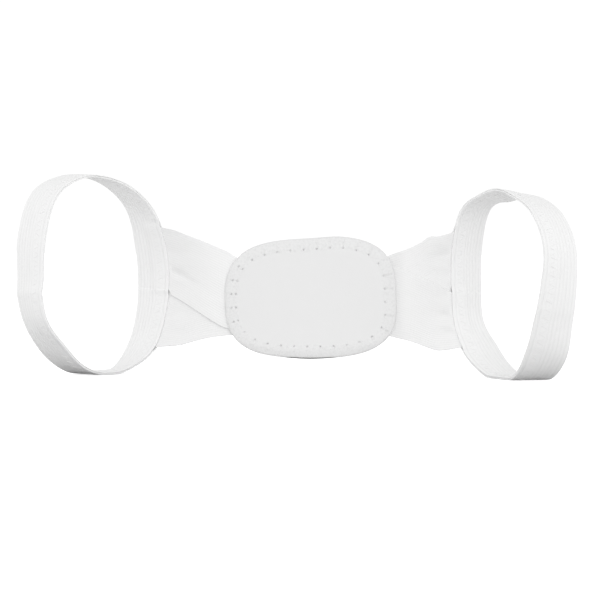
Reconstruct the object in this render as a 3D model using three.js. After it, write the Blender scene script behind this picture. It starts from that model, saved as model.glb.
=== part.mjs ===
// A posture corrector: two elastic arm loops, two elastic bands that cross behind a
// two-sheet back pad, and the pad. It stands on the flattened bottoms of its loops.
// Units are millimetres. +Z is up, the pad faces -Y, and +X is to the viewer's right.
// The origin is the middle of the bottom of the whole part's box.
import * as THREE from "three";

// Driving sizes
const PAD_WIDTH = 136.4;
const PAD_HEIGHT = 95.2;
const PAD_SHEET = 1.6; // thickness of each pad sheet
const PAD_PUFF = 1.5; // how far the front sheet swells over the bands
const PAD_TILT = 2; // degrees, right side up
const PAD_CENTRE_HEIGHT = 62.7; // pad centre above the surface it stands over

const BAND_WIDTH = 57;
const BAND_THICKNESS = 1;
const BAND_SPACING = 1.3; // between the middles of the two bands
const BAND_INSERT = 12; // length of band held inside a loop

const STRAP_WIDTH = 32.5; // folded width of a loop's webbing
const STRAP_PLY = 1;
const STRAP_RIBS = 7;
const RIB_RELIEF = 0.22;
const LAP_RISE = 0.5; // extra height where the loop's ends lap
const LAP_LENGTH = 9;
const FLOOR_PRESS = 1.6; // how far the resting surface flattens a loop
const PRESSED_FLAT = 0.33; // ribs lower than this above the surface are pressed flat

const LEFT_REACH = 113; // from the pad's centre out to where a band enters a loop
const RIGHT_REACH = 113;
const LEFT_SETBACK = 26; // how far that place lies behind the pad
const RIGHT_SETBACK = 25;

// Clearances
const GAP = 0.3; // between pieces that touch
const SLIT = 0.35; // between the two plies of a loop

const degrees = THREE.MathUtils.degToRad;

// The two loops. Yaw is the angle between a loop's axis and the pad's normal.
const LEFT_LOOP = {
  side: -1,
  halfWidth: 63,
  halfHeight: 78.5,
  yaw: 43,
  reach: LEFT_REACH,
  setback: LEFT_SETBACK,
  seamTurn: -8.3,
  // near and far: the radius of each rim, as shares of the loop's half sizes
  rows: [
    { turn: 0, near: 0.98, far: 0.86 },
    { turn: 22.5, near: 0.975, far: 0.87 },
    { turn: 45, near: 0.975, far: 0.955 },
    { turn: 67.5, near: 0.965, far: 0.98 },
    { turn: 90, near: 0.99, far: 1.015 },
    { turn: 112.5, near: 1.07, far: 1.08 },
    { turn: 135, near: 1.13, far: 1.165 },
    { turn: 157.5, near: 1.055, far: 1.1 },
    { turn: 180, near: 1.0, far: 1.02 },
    { turn: 202.5, near: 1.04, far: 1.035 },
    { turn: 225, near: 0.965, far: 1.01 },
    { turn: 247.5, near: 0.975, far: 1.0 },
    { turn: 270, near: 0.985, far: 1.015 },
    { turn: 292.5, near: 0.995, far: 1.06 },
    { turn: 315, near: 1.035, far: 0.995 },
    { turn: 337.5, near: 0.99, far: 0.91 },
  ],
};
const RIGHT_LOOP = {
  side: 1,
  halfWidth: 63,
  halfHeight: 75,
  yaw: 60,
  reach: RIGHT_REACH,
  setback: RIGHT_SETBACK,
  seamTurn: -6.3,
  rows: [
    { turn: 0, near: 0.96, far: 1.02 },
    { turn: 22.5, near: 1.02, far: 1.09 },
    { turn: 45, near: 1.085, far: 1.15 },
    { turn: 67.5, near: 1.005, far: 0.96 },
    { turn: 90, near: 0.99, far: 0.925 },
    { turn: 112.5, near: 0.98, far: 0.94 },
    { turn: 135, near: 1.04, far: 0.995 },
    { turn: 157.5, near: 1.055, far: 1.02 },
    { turn: 180, near: 0.935, far: 0.97 },
    { turn: 202.5, near: 0.88, far: 0.975 },
    { turn: 225, near: 0.93, far: 1.09 },
    { turn: 247.5, near: 1.03, far: 1.085 },
    { turn: 270, near: 1.0, far: 1.0 },
    { turn: 292.5, near: 0.975, far: 0.95 },
    { turn: 315, near: 1.0, far: 0.94 },
    { turn: 337.5, near: 1.005, far: 1.045 },
  ],
};

// The pad's outline: how far it departs from a superellipse at each turn
const PAD_ROWS = [
  { turn: 0, share: 1.005 },
  { turn: 60, share: 1.02 },
  { turn: 90, share: 0.99 },
  { turn: 150, share: 0.978 },
  { turn: 180, share: 1.004 },
  { turn: 240, share: 1.0 },
  { turn: 270, share: 1.02 },
  { turn: 330, share: 1.028 },
];
const PAD_SQUARENESS = 3;

// Across a pad sheet: reach is a share of the way to its edge, crown a share of its puff.
// The dip before the edge is where the sheets are sewn together.
const PAD_PROFILE = [
  { reach: 0, crown: 1 },
  { reach: 0.3, crown: 0.96 },
  { reach: 0.6, crown: 0.78 },
  { reach: 0.78, crown: 0.5 },
  { reach: 0.86, crown: 0.16 },
  { reach: 0.93, crown: 0.3 },
  { reach: 1, crown: 0 },
];

// Each wing: along runs from the loop (0) past the pad's side (1) to the pad's corner (1.2).
// upper and lower say how far each edge has gone from its height at the loop to its height
// under the pad.
const WING_ROWS = {
  frontLeft: [
    { along: 0, upper: 0, lower: 0 },
    { along: 0.2, upper: 0.085, lower: 0.24 },
    { along: 0.4, upper: 0.255, lower: 0.42 },
    { along: 0.6, upper: 0.41, lower: 0.585 },
    { along: 0.8, upper: 0.585, lower: 0.745 },
    { along: 1, upper: 0.78, lower: 0.9 },
    { along: 1.2, upper: 1, lower: 1 },
  ],
  backLeft: [
    { along: 0, upper: 0, lower: 0 },
    { along: 0.2, upper: 0.2, lower: 0.11 },
    { along: 0.4, upper: 0.4, lower: 0.23 },
    { along: 0.6, upper: 0.6, lower: 0.51 },
    { along: 0.8, upper: 0.8, lower: 0.76 },
    { along: 1, upper: 0.92, lower: 0.92 },
    { along: 1.2, upper: 1, lower: 1 },
  ],
  frontRight: [
    { along: 0, upper: 0, lower: 0 },
    { along: 0.2, upper: 0.17, lower: -0.15 },
    { along: 0.4, upper: 0.34, lower: -0.19 },
    { along: 0.6, upper: 0.5, lower: 0.14 },
    { along: 0.8, upper: 0.67, lower: 0.51 },
    { along: 1, upper: 0.85, lower: 0.78 },
    { along: 1.2, upper: 1, lower: 1 },
  ],
  backRight: [
    { along: 0, upper: 0, lower: 0 },
    { along: 0.15, upper: 0.12, lower: 0.12 },
    { along: 0.3, upper: 0.19, lower: 0.25 },
    { along: 0.45, upper: 0.2, lower: 0.4 },
    { along: 0.6, upper: 0.42, lower: 0.5 },
    { along: 0.8, upper: 0.65, lower: 0.67 },
    { along: 1, upper: 0.84, lower: 0.84 },
    { along: 1.2, upper: 1, lower: 1 },
  ],
};
const WING_END = 1.2;

// Where a band's upper edge lies under the pad, as a share of the band's width above the
// pad's centre, and the rows that each of its wings follows.
const BANDS = {
  front: { padLeft: 0.545, padRight: 0.486, leftRows: "frontLeft", rightRows: "frontRight" },
  back: { padLeft: 0.47, padRight: 0.562, leftRows: "backLeft", rightRows: "backRight" },
};
// The share of a band's width that is left where it is gathered into a loop
const GATHER = { left: { upper: 0.95, lower: 0.86 }, right: { upper: 0.86, lower: 0.86 } };

// Dents (+) and swells (-) of the wings. along and level place the middle: level is a share
// of the pad's height above its centre. length and breadth are shares of the pad's height,
// slope is in degrees, and depth is a share of the band's width.
const DENTS = [
  { wing: -1, along: 0.22, level: 0.17, length: 0.17, breadth: 0.05, slope: -28, depth: 0.025 },
  { wing: -1, along: 0.42, level: 0.02, length: 0.2, breadth: 0.06, slope: -22, depth: -0.008 },
  { wing: -1, along: 0.62, level: -0.12, length: 0.2, breadth: 0.07, slope: -25, depth: -0.008 },
  { wing: 1, along: 0.2, level: 0.5, length: 0.1, breadth: 0.055, slope: 35, depth: -0.016 },
  { wing: 1, along: 0.22, level: 0.36, length: 0.12, breadth: 0.05, slope: 22, depth: 0.018 },
  { wing: 1, along: 0.12, level: -0.14, length: 0.08, breadth: 0.04, slope: -12, depth: 0.016 },
  { wing: 1, along: 0.12, level: -0.28, length: 0.08, breadth: 0.035, slope: -16, depth: 0.016 },
];

// Small pleats where a band is gathered into a loop
const PLEAT_WIDTH = 16;
const PLEAT_DEPTH = 0.3;
const PLEAT_REACH = 0.14; // share of the wing at which the pleats are deepest

// The wings' dents and pleats fade in by the first share of the wing, and out from the second
const RELIEF_START = 0.12;
const RELIEF_END = 0.8;
const WING_PULL = 0.42; // how long a wing keeps its heading at each end, as a share of its span

// How a loop opens for the bands: the share of a band's width over which it closes again
// round the loop, and how much further in than the band it closes across the webbing
const OPENING_FADE = 0.25;
const OPENING_DEPTH = 1.6;

// The pad's sheets part over the bands: how far past the stack, as a share of the pad's
// height, and how much further out they meet
const PAD_COVER_MARGIN = 0.07;
const PAD_COVER_FADE = 1.25;
const PAD_EDGE_THINNING = 0.7; // share of a sheet's thickness left at its edge

// Fineness of the meshes
const LOOP_STEP = 7.5; // degrees between a loop's sections
const WING_STEPS = 11;
const HELD_STEPS = 2;
const HIDDEN_STEPS = 3;
const BAND_STRIPS = 10;
const PAD_SPOKES = 36;

// Steps over which the slope of a loop's surface is taken: degrees round it, a share across
const SLOPE_TURN = 1.5;
const SLOPE_SHARE = 0.05;

// Reads a column from a table of rows, with a smooth curve through the rows.
function readRows(rows, key, at, column) {
  let i = 0;
  while (i < rows.length - 2 && at > rows[i + 1][key]) i += 1;
  const before = rows[Math.max(i - 1, 0)];
  const start = rows[i];
  const end = rows[i + 1];
  const after = rows[Math.min(i + 2, rows.length - 1)];
  const span = end[key] - start[key];
  const share = THREE.MathUtils.clamp((at - start[key]) / span, 0, 1);
  const slopeIn = ((end[column] - before[column]) / (end[key] - before[key])) * span;
  const slopeOut = ((after[column] - start[column]) / (after[key] - start[key])) * span;
  const square = share * share;
  const cube = square * share;
  return (
    start[column] * (2 * cube - 3 * square + 1) +
    slopeIn * (cube - 2 * square + share) +
    end[column] * (3 * square - 2 * cube) +
    slopeOut * (cube - square)
  );
}

// The same for a table whose rows go once round: it is read with a row's copy at each end.
function readRound(rows, turn, column) {
  const at = THREE.MathUtils.euclideanModulo(turn, 360);
  const last = rows[rows.length - 1];
  const wrapped = [
    { ...last, turn: last.turn - 360 },
    ...rows,
    { ...rows[0], turn: 360 },
    { ...rows[1], turn: rows[1].turn + 360 },
  ];
  return readRows(wrapped, "turn", at, column);
}

// The directions and the centre of a loop, in plan
function loopFrame(loop) {
  const yaw = degrees(loop.yaw);
  const axis = new THREE.Vector3(loop.side * Math.sin(yaw), Math.cos(yaw), 0);
  const inward = new THREE.Vector3(-loop.side * Math.cos(yaw), Math.sin(yaw), 0);
  const entry = new THREE.Vector3(loop.side * loop.reach, loop.setback, 0);
  const centre = entry.addScaledVector(inward, -loop.halfWidth);
  return { axis, inward, centre };
}

const CLOSED_HALF = STRAP_PLY + SLIT / 2; // half thickness of a loop away from the bands
const OPEN_HALF = STRAP_PLY + GAP + (BAND_SPACING + BAND_THICKNESS) / 2;

// A point on the middle surface of a loop: turn goes round it in degrees from the wing's
// side over the top, and across goes from the near rim (0) to the far rim (1).
function loopPoint(loop, turn, across) {
  const { axis, inward, centre } = loopFrame(loop);
  const near = readRound(loop.rows, turn, "near");
  const far = readRound(loop.rows, turn, "far");
  const radius = THREE.MathUtils.lerp(near, far, across);
  const angle = degrees(turn);
  const lowest = CLOSED_HALF - FLOOR_PRESS;
  const height = lowest + loop.halfHeight * (1 + radius * Math.sin(angle));
  const point = centre.clone();
  point.addScaledVector(inward, loop.halfWidth * radius * Math.cos(angle));
  point.addScaledVector(axis, STRAP_WIDTH * across);
  point.z = Math.max(height, CLOSED_HALF);
  return point;
}

// The loop's outward normal at a point of its middle surface
function loopNormal(loop, turn, across) {
  const low = Math.max(across - SLOPE_SHARE, 0);
  const high = Math.min(across + SLOPE_SHARE, 1);
  const ahead = loopPoint(loop, turn + SLOPE_TURN, across);
  const round = ahead.sub(loopPoint(loop, turn - SLOPE_TURN, across));
  const over = loopPoint(loop, turn, high).sub(loopPoint(loop, turn, low));
  const normal = round.cross(over).normalize();
  return normal.multiplyScalar(loop.side);
}

// A length round the loop's inner side, as degrees of turn
const turnOf = (loop, length) => THREE.MathUtils.radToDeg(length / loop.halfHeight);

function bandTurns(loop) {
  const gather = loop.side < 0 ? GATHER.left : GATHER.right;
  const gap = turnOf(loop, GAP);
  return {
    top: loop.seamTurn + turnOf(loop, BAND_WIDTH * gather.upper),
    aboveSeam: loop.seamTurn + gap,
    belowSeam: loop.seamTurn - gap,
    bottom: loop.seamTurn - turnOf(loop, BAND_WIDTH * gather.lower),
  };
}

const smooth = (value, from, to) => THREE.MathUtils.smoothstep(value, from, to);

const signedTurn = (turn) => THREE.MathUtils.euclideanModulo(turn + 180, 360) - 180;
const HELD_SHARE = (BAND_INSERT + STRAP_PLY) / STRAP_WIDTH; // a loop's width that holds a band

// How far the slit is opened by the bands, from 0 to 1
function openness(loop, turn, across) {
  const { top, bottom } = bandTurns(loop);
  const spread = turnOf(loop, BAND_WIDTH * OPENING_FADE);
  const signed = signedTurn(turn);
  const low = bottom - LOOP_STEP;
  const high = top + LOOP_STEP;
  const round = smooth(signed, low - spread, low) * (1 - smooth(signed, high, high + spread));
  return round * (1 - smooth(across, HELD_SHARE, HELD_SHARE * OPENING_DEPTH));
}

// One closed section of a loop: two ribbed plies joined by a fold at the far rim
function loopSection(loop, turn) {
  const points = [];
  const lapEnd = loop.seamTurn - turnOf(loop, LAP_LENGTH);
  const lapped = turn <= loop.seamTurn && turn >= lapEnd ? LAP_RISE : 0;
  const place = (across, offset) => {
    const point = loopPoint(loop, turn, across);
    point.addScaledVector(loopNormal(loop, turn, across), offset);
    if (point.z < PRESSED_FLAT) point.z = 0;
    points.push(point);
  };
  const half = (across) =>
    THREE.MathUtils.lerp(CLOSED_HALF, OPEN_HALF, openness(loop, turn, across));
  const ribPoints = STRAP_RIBS * 2;
  const fold = 1 - CLOSED_HALF / STRAP_WIDTH;
  const ribbed = (i, facing, rise) => {
    const across = (fold * i) / ribPoints;
    const valley = i % 2 === 0 ? RIB_RELIEF : 0;
    place(across, facing * (half(across) - valley + rise));
  };
  for (let i = 0; i <= ribPoints; i += 1) ribbed(i, 1, 0);
  place(1, 0);
  for (let i = ribPoints; i >= 0; i -= 1) ribbed(i, -1, lapped);
  const slitEnd = 1 - (CLOSED_HALF * 2) / STRAP_WIDTH;
  place(0, STRAP_PLY - half(0));
  place(HELD_SHARE, STRAP_PLY - half(HELD_SHARE));
  place(slitEnd, -SLIT / 2);
  place(slitEnd, SLIT / 2);
  place(HELD_SHARE, half(HELD_SHARE) - STRAP_PLY);
  place(0, half(0) - STRAP_PLY);
  return points;
}

// A closed body from sections that go once round
function ringOfSections(sections, reversed) {
  const count = sections.length;
  const size = sections[0].length;
  const positions = sections.flat().flatMap((point) => point.toArray());
  const index = [];
  for (let i = 0; i < count; i += 1) {
    for (let k = 0; k < size; k += 1) {
      const a = i * size + k;
      const b = i * size + ((k + 1) % size);
      const c = ((i + 1) % count) * size + ((k + 1) % size);
      const d = ((i + 1) % count) * size + k;
      index.push(...(reversed ? [a, c, b, a, d, c] : [a, b, c, a, c, d]));
    }
  }
  return bodyOf(positions, index);
}

function bodyOf(positions, index) {
  const geometry = new THREE.BufferGeometry();
  geometry.setAttribute("position", new THREE.Float32BufferAttribute(positions, 3));
  geometry.setIndex(index);
  geometry.computeVertexNormals();
  return geometry;
}

// The turns of a loop's sections, with a pair at each edge of the lap
function sectionTurns(loop) {
  const edge = turnOf(loop, LAP_RISE);
  const lapEnd = loop.seamTurn - turnOf(loop, LAP_LENGTH);
  const lap = [loop.seamTurn, loop.seamTurn + edge, lapEnd, lapEnd - edge];
  const turns = [...lap];
  for (let turn = -180; turn < 180; turn += LOOP_STEP) {
    if (lap.every((other) => Math.abs(other - turn) > LOOP_STEP / 3)) turns.push(turn);
  }
  return turns.sort((a, b) => a - b);
}

function armLoop(loop) {
  const sections = sectionTurns(loop).map((turn) => loopSection(loop, turn));
  return ringOfSections(sections, loop.side > 0);
}

// The turn at which a loop's near rim reaches a height, on the wing's side
const JOIN_RANGE = [-70, 60];
const HALVINGS = 24;
function turnAtHeight(loop, height) {
  let [low, high] = JOIN_RANGE;
  for (let i = 0; i < HALVINGS; i += 1) {
    const middle = (low + high) / 2;
    if (loopPoint(loop, middle, 0).z < height) low = middle;
    else high = middle;
  }
  return (low + high) / 2;
}

const bezier = (a, b, c, d, t) =>
  a * (1 - t) ** 3 + 3 * b * t * (1 - t) ** 2 + 3 * c * t * t * (1 - t) + d * t ** 3;

// The wings' common surface: x and y at a height, along a curve that leaves the loop along
// its webbing and runs out flat at the pad
function wingPoint(loop, along, height) {
  const turn = turnAtHeight(loop, height);
  const start = loopPoint(loop, turn, 0);
  const heading = start.clone().sub(loopPoint(loop, turn, HELD_SHARE));
  heading.z = 0;
  heading.normalize();
  const end = new THREE.Vector3((loop.side * PAD_WIDTH) / 2, 0, height);
  if (along > 1) return end.addScaledVector(new THREE.Vector3(start.x - end.x, 0, 0), 1 - along);
  const pull = Math.abs(start.x - end.x) * WING_PULL;
  const x = bezier(start.x, start.x + heading.x * pull, end.x + loop.side * pull, end.x, along);
  const y = bezier(start.y, start.y + heading.y * pull, 0, 0, along);
  return new THREE.Vector3(x, y + wingRelief(loop, along, height), height);
}

// Dents and pleats, as a distance behind the plain surface
function wingRelief(loop, along, height) {
  const level = (height - PAD_CENTRE_HEIGHT) / PAD_HEIGHT;
  const wingLength = (loop.reach - PAD_WIDTH / 2) / PAD_HEIGHT;
  let depth = 0;
  for (const dent of DENTS.filter((row) => row.wing === loop.side)) {
    const out = (along - dent.along) * wingLength * -loop.side;
    const up = level - dent.level;
    const slope = degrees(dent.slope);
    const lengthwise = (out * Math.cos(slope) + up * Math.sin(slope)) / dent.length;
    const crosswise = (up * Math.cos(slope) - out * Math.sin(slope)) / dent.breadth;
    depth += dent.depth * BAND_WIDTH * Math.exp(-(lengthwise ** 2) - crosswise ** 2);
  }
  const fade = (along / PLEAT_REACH) * Math.exp(1 - along / PLEAT_REACH);
  const wave = Math.sin((level * PAD_HEIGHT * 2 * Math.PI) / PLEAT_WIDTH);
  const atEnds = smooth(along, 0, RELIEF_START) * (1 - smooth(along, RELIEF_END, 1));
  return depth * atEnds + PLEAT_DEPTH * wave * fade;
}

// Middle points of a band: a row of points across it for each step from loop to loop
function bandGrid(band, upperOnLeft) {
  const rows = [];
  for (const loop of [LEFT_LOOP, RIGHT_LOOP]) {
    const wing = [];
    const turns = bandTurns(loop);
    const upperHere = loop.side < 0 ? upperOnLeft : !upperOnLeft;
    const topTurn = upperHere ? turns.top : turns.belowSeam;
    const lowTurn = upperHere ? turns.aboveSeam : turns.bottom;
    const table = WING_ROWS[loop.side < 0 ? band.leftRows : band.rightRows];
    const above = loop.side < 0 ? band.padLeft : band.padRight;
    const padTop = PAD_CENTRE_HEIGHT + BAND_WIDTH * above;
    const padLow = padTop - BAND_WIDTH;
    const across = Array.from({ length: BAND_STRIPS + 1 }, (_, j) => j / BAND_STRIPS);
    for (let i = 0; i < HELD_STEPS; i += 1) {
      const held = ((1 - i / HELD_STEPS) * BAND_INSERT) / STRAP_WIDTH;
      const turn = (v) => THREE.MathUtils.lerp(topTurn, lowTurn, v);
      wing.push(across.map((v) => loopPoint(loop, turn(v), held)));
    }
    const loopTop = loopPoint(loop, topTurn, 0).z;
    const loopLow = loopPoint(loop, lowTurn, 0).z;
    for (let i = 0; i <= WING_STEPS; i += 1) {
      const along = (WING_END * i) / WING_STEPS;
      const upper = readRows(table, "along", along, "upper");
      const lower = readRows(table, "along", along, "lower");
      const top = THREE.MathUtils.lerp(loopTop, padTop, upper);
      const low = THREE.MathUtils.lerp(loopLow, padLow, lower);
      wing.push(across.map((v) => wingPoint(loop, along, THREE.MathUtils.lerp(top, low, v))));
    }
    rows.push(wing);
  }
  const [left, right] = rows;
  right.reverse();
  const from = left[left.length - 1];
  const to = right[0];
  const hidden = [];
  for (let i = 1; i < HIDDEN_STEPS; i += 1) {
    const share = i / HIDDEN_STEPS;
    hidden.push(from.map((point, j) => point.clone().lerp(to[j], share)));
  }
  return [...left, ...hidden, ...right];
}

// Gives a grid of middle points its thickness, offset to one side of the common surface
function sheetFromGrid(grid, offset, thickness) {
  const rows = grid.length;
  const columns = grid[0].length;
  const normalAt = (i, j) => {
    const along = grid[Math.min(i + 1, rows - 1)][j].clone().sub(grid[Math.max(i - 1, 0)][j]);
    const down = grid[i][Math.min(j + 1, columns - 1)].clone().sub(grid[i][Math.max(j - 1, 0)]);
    return down.cross(along).normalize();
  };
  const front = [];
  const back = [];
  grid.forEach((row, i) =>
    row.forEach((point, j) => {
      const normal = normalAt(i, j);
      front.push(point.clone().addScaledVector(normal, offset + thickness / 2));
      back.push(point.clone().addScaledVector(normal, offset - thickness / 2));
    }),
  );
  const index = [];
  const at = (i, j, side) => side * rows * columns + i * columns + j;
  const quad = (a, b, c, d) => index.push(a, b, c, a, c, d);
  for (let i = 0; i < rows - 1; i += 1) {
    for (let j = 0; j < columns - 1; j += 1) {
      quad(at(i, j, 0), at(i, j + 1, 0), at(i + 1, j + 1, 0), at(i + 1, j, 0));
      quad(at(i, j, 1), at(i + 1, j, 1), at(i + 1, j + 1, 1), at(i, j + 1, 1));
    }
    quad(at(i, 0, 0), at(i + 1, 0, 0), at(i + 1, 0, 1), at(i, 0, 1));
    const last = columns - 1;
    quad(at(i + 1, last, 0), at(i, last, 0), at(i, last, 1), at(i + 1, last, 1));
  }
  for (let j = 0; j < columns - 1; j += 1) {
    quad(at(0, j + 1, 0), at(0, j, 0), at(0, j, 1), at(0, j + 1, 1));
    const end = rows - 1;
    quad(at(end, j, 0), at(end, j + 1, 0), at(end, j + 1, 1), at(end, j, 1));
  }
  return bodyOf([...front, ...back].flatMap((point) => point.toArray()), index);
}

// The pad's edge at a turn, in the pad's own upright plane
function padEdge(turn) {
  const angle = degrees(turn);
  const power = PAD_SQUARENESS;
  const across = Math.abs(Math.cos(angle) / (PAD_WIDTH / 2)) ** power;
  const up = Math.abs(Math.sin(angle) / (PAD_HEIGHT / 2)) ** power;
  const radius = (across + up) ** (-1 / power) * readRound(PAD_ROWS, turn, "share");
  return { x: radius * Math.cos(angle), z: radius * Math.sin(angle) };
}

// Half the space between the pad's sheets: wide over the bands, closed above and below them
function padHalfSpace(z) {
  const open = (BAND_SPACING + BAND_THICKNESS) / 2 + GAP;
  const edge = PAD_HEIGHT / 2;
  const stack = (BAND_WIDTH / 2 + PAD_HEIGHT * PAD_COVER_MARGIN) / edge;
  const closing = smooth(Math.abs(z) / edge, stack, stack * PAD_COVER_FADE);
  return THREE.MathUtils.lerp(open, GAP / 2, closing);
}

// One pad sheet. facing is -1 for the front sheet and 1 for the back one.
function padSheet(facing, puff) {
  const tilt = degrees(PAD_TILT);
  const inner = [];
  const outer = [];
  const place = (turn, row, layer) => {
    const edge = padEdge(turn);
    const x = edge.x * row.reach;
    const z = edge.z * row.reach;
    const upright = x * Math.sin(tilt) + z * Math.cos(tilt);
    const left = row.reach === 1 ? PAD_EDGE_THINNING : 1;
    const thickness = PAD_SHEET * left + row.crown * puff;
    const depth = padHalfSpace(upright) + layer * thickness;
    return new THREE.Vector3(
      x * Math.cos(tilt) - z * Math.sin(tilt),
      facing * depth,
      PAD_CENTRE_HEIGHT + upright,
    );
  };
  for (const row of PAD_PROFILE.slice(1)) {
    for (let j = 0; j < PAD_SPOKES; j += 1) {
      const turn = (360 * j) / PAD_SPOKES;
      inner.push(place(turn, row, 0));
      outer.push(place(turn, row, 1));
    }
  }
  const rings = PAD_PROFILE.length - 1;
  const points = [...outer, ...inner, place(0, PAD_PROFILE[0], 1), place(0, PAD_PROFILE[0], 0)];
  const centreOut = points.length - 2;
  const index = [];
  const triangle = (a, b, c) => index.push(...(facing < 0 ? [a, b, c] : [a, c, b]));
  for (let j = 0; j < PAD_SPOKES; j += 1) {
    const next = (j + 1) % PAD_SPOKES;
    const at = (ring, spoke, layer) => layer * outer.length + ring * PAD_SPOKES + spoke;
    triangle(centreOut, at(0, j, 0), at(0, next, 0));
    triangle(centreOut + 1, at(0, next, 1), at(0, j, 1));
    for (let ring = 0; ring < rings - 1; ring += 1) {
      triangle(at(ring, j, 0), at(ring + 1, j, 0), at(ring + 1, next, 0));
      triangle(at(ring, j, 0), at(ring + 1, next, 0), at(ring, next, 0));
      triangle(at(ring, j, 1), at(ring + 1, next, 1), at(ring + 1, j, 1));
      triangle(at(ring, j, 1), at(ring, next, 1), at(ring + 1, next, 1));
    }
    triangle(at(rings - 1, j, 0), at(rings - 1, j, 1), at(rings - 1, next, 1));
    triangle(at(rings - 1, j, 0), at(rings - 1, next, 1), at(rings - 1, next, 0));
  }
  return bodyOf(points.flatMap((point) => point.toArray()), index);
}

const padMaterial = new THREE.MeshStandardMaterial({ color: 0xeeeeef, roughness: 0.6 });
const bandMaterial = new THREE.MeshStandardMaterial({ color: 0xf1f1f2, roughness: 0.9 });
const loopMaterial = new THREE.MeshStandardMaterial({ color: 0xf3f3f3, roughness: 0.85 });

function piece(name, geometry, material) {
  const mesh = new THREE.Mesh(geometry, material.clone());
  mesh.name = name;
  return mesh;
}

const halfSpacing = BAND_SPACING / 2;
const backGrid = bandGrid(BANDS.back, false);
const frontGrid = bandGrid(BANDS.front, true);
const pieces = new THREE.Group();
pieces.add(
  piece("pad_front", padSheet(-1, PAD_PUFF), padMaterial),
  piece("pad_back", padSheet(1, 0), padMaterial),
  piece("cross_band_front", sheetFromGrid(frontGrid, halfSpacing, BAND_THICKNESS), bandMaterial),
  piece("cross_band_back", sheetFromGrid(backGrid, -halfSpacing, BAND_THICKNESS), bandMaterial),
  piece("arm_loop_left", armLoop(LEFT_LOOP), loopMaterial),
  piece("arm_loop_right", armLoop(RIGHT_LOOP), loopMaterial),
);

// The origin goes to the middle of the bottom of the whole box.
const box = new THREE.Box3().setFromObject(pieces);
const middle = box.getCenter(new THREE.Vector3());
pieces.position.set(-middle.x, -middle.y, -box.min.z);

const postureCorrector = new THREE.Group();
postureCorrector.add(pieces);

export default postureCorrector;
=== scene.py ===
# A posture corrector: two arm loops of folded elastic webbing, two crossed elastic bands
# and a smooth back pad of two sheets sewn together. The file is laid out as an add-on and
# run as a script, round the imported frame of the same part.
# Shapes are worked out in millimetres round the pad's centre, as in the part's source, and
# turned into metres when a mesh is made.
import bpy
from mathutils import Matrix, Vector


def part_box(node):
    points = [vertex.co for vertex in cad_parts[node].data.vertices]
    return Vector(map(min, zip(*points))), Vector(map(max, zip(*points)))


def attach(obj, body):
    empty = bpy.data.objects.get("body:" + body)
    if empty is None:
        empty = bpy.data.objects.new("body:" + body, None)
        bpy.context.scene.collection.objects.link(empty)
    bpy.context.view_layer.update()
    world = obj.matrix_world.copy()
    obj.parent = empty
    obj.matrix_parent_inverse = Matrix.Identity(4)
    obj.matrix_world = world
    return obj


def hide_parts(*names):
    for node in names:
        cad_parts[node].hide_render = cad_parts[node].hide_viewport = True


bl_info = {
    "name": "Posture Corrector",
    "version": (1, 0, 0),
    "blender": (4, 5, 0),
    "location": "3D View > Sidebar > Corrector",
    "description": "Makes the cloth of a posture corrector round its packed frame",
    "category": "Object",
}

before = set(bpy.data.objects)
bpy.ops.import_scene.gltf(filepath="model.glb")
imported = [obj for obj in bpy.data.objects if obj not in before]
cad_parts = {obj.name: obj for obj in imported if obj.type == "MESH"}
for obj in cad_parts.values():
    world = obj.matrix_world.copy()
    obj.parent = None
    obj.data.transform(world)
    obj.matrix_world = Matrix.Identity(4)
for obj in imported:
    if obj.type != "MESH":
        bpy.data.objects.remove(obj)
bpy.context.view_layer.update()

import math
from functools import partial

import bpy
import numpy as np
from bpy.props import FloatProperty, FloatVectorProperty, IntProperty, PointerProperty
from mathutils import Matrix, Vector

MM = 0.001

# Driving sizes, in millimetres, as in the part's source
PAD_WIDTH = 136.4
PAD_HEIGHT = 95.2
PAD_TILT = 2  # degrees, right side up
PAD_CENTRE_HEIGHT = 62.7
PAD_SQUARENESS = 3
PAD_EDGE = 1.1  # thickness of a pad sheet at its edge, rounded from the source's
BAND_WIDTH = 57
BAND_THICKNESS = 1
BAND_SPACING = 1.3
BAND_INSERT = 12
STRAP_WIDTH = 32.5
STRAP_PLY = 1
LAP_LENGTH = 9
FLOOR_PRESS = 1.6
GAP = 0.3
SLIT = 0.35
CLOSED_HALF = STRAP_PLY + SLIT / 2
HELD_HALF = STRAP_PLY + GAP + BAND_THICKNESS / 2
HELD_SHARE = (BAND_INSERT + STRAP_PLY) / STRAP_WIDTH  # of a loop's width, round a band's end

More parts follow.
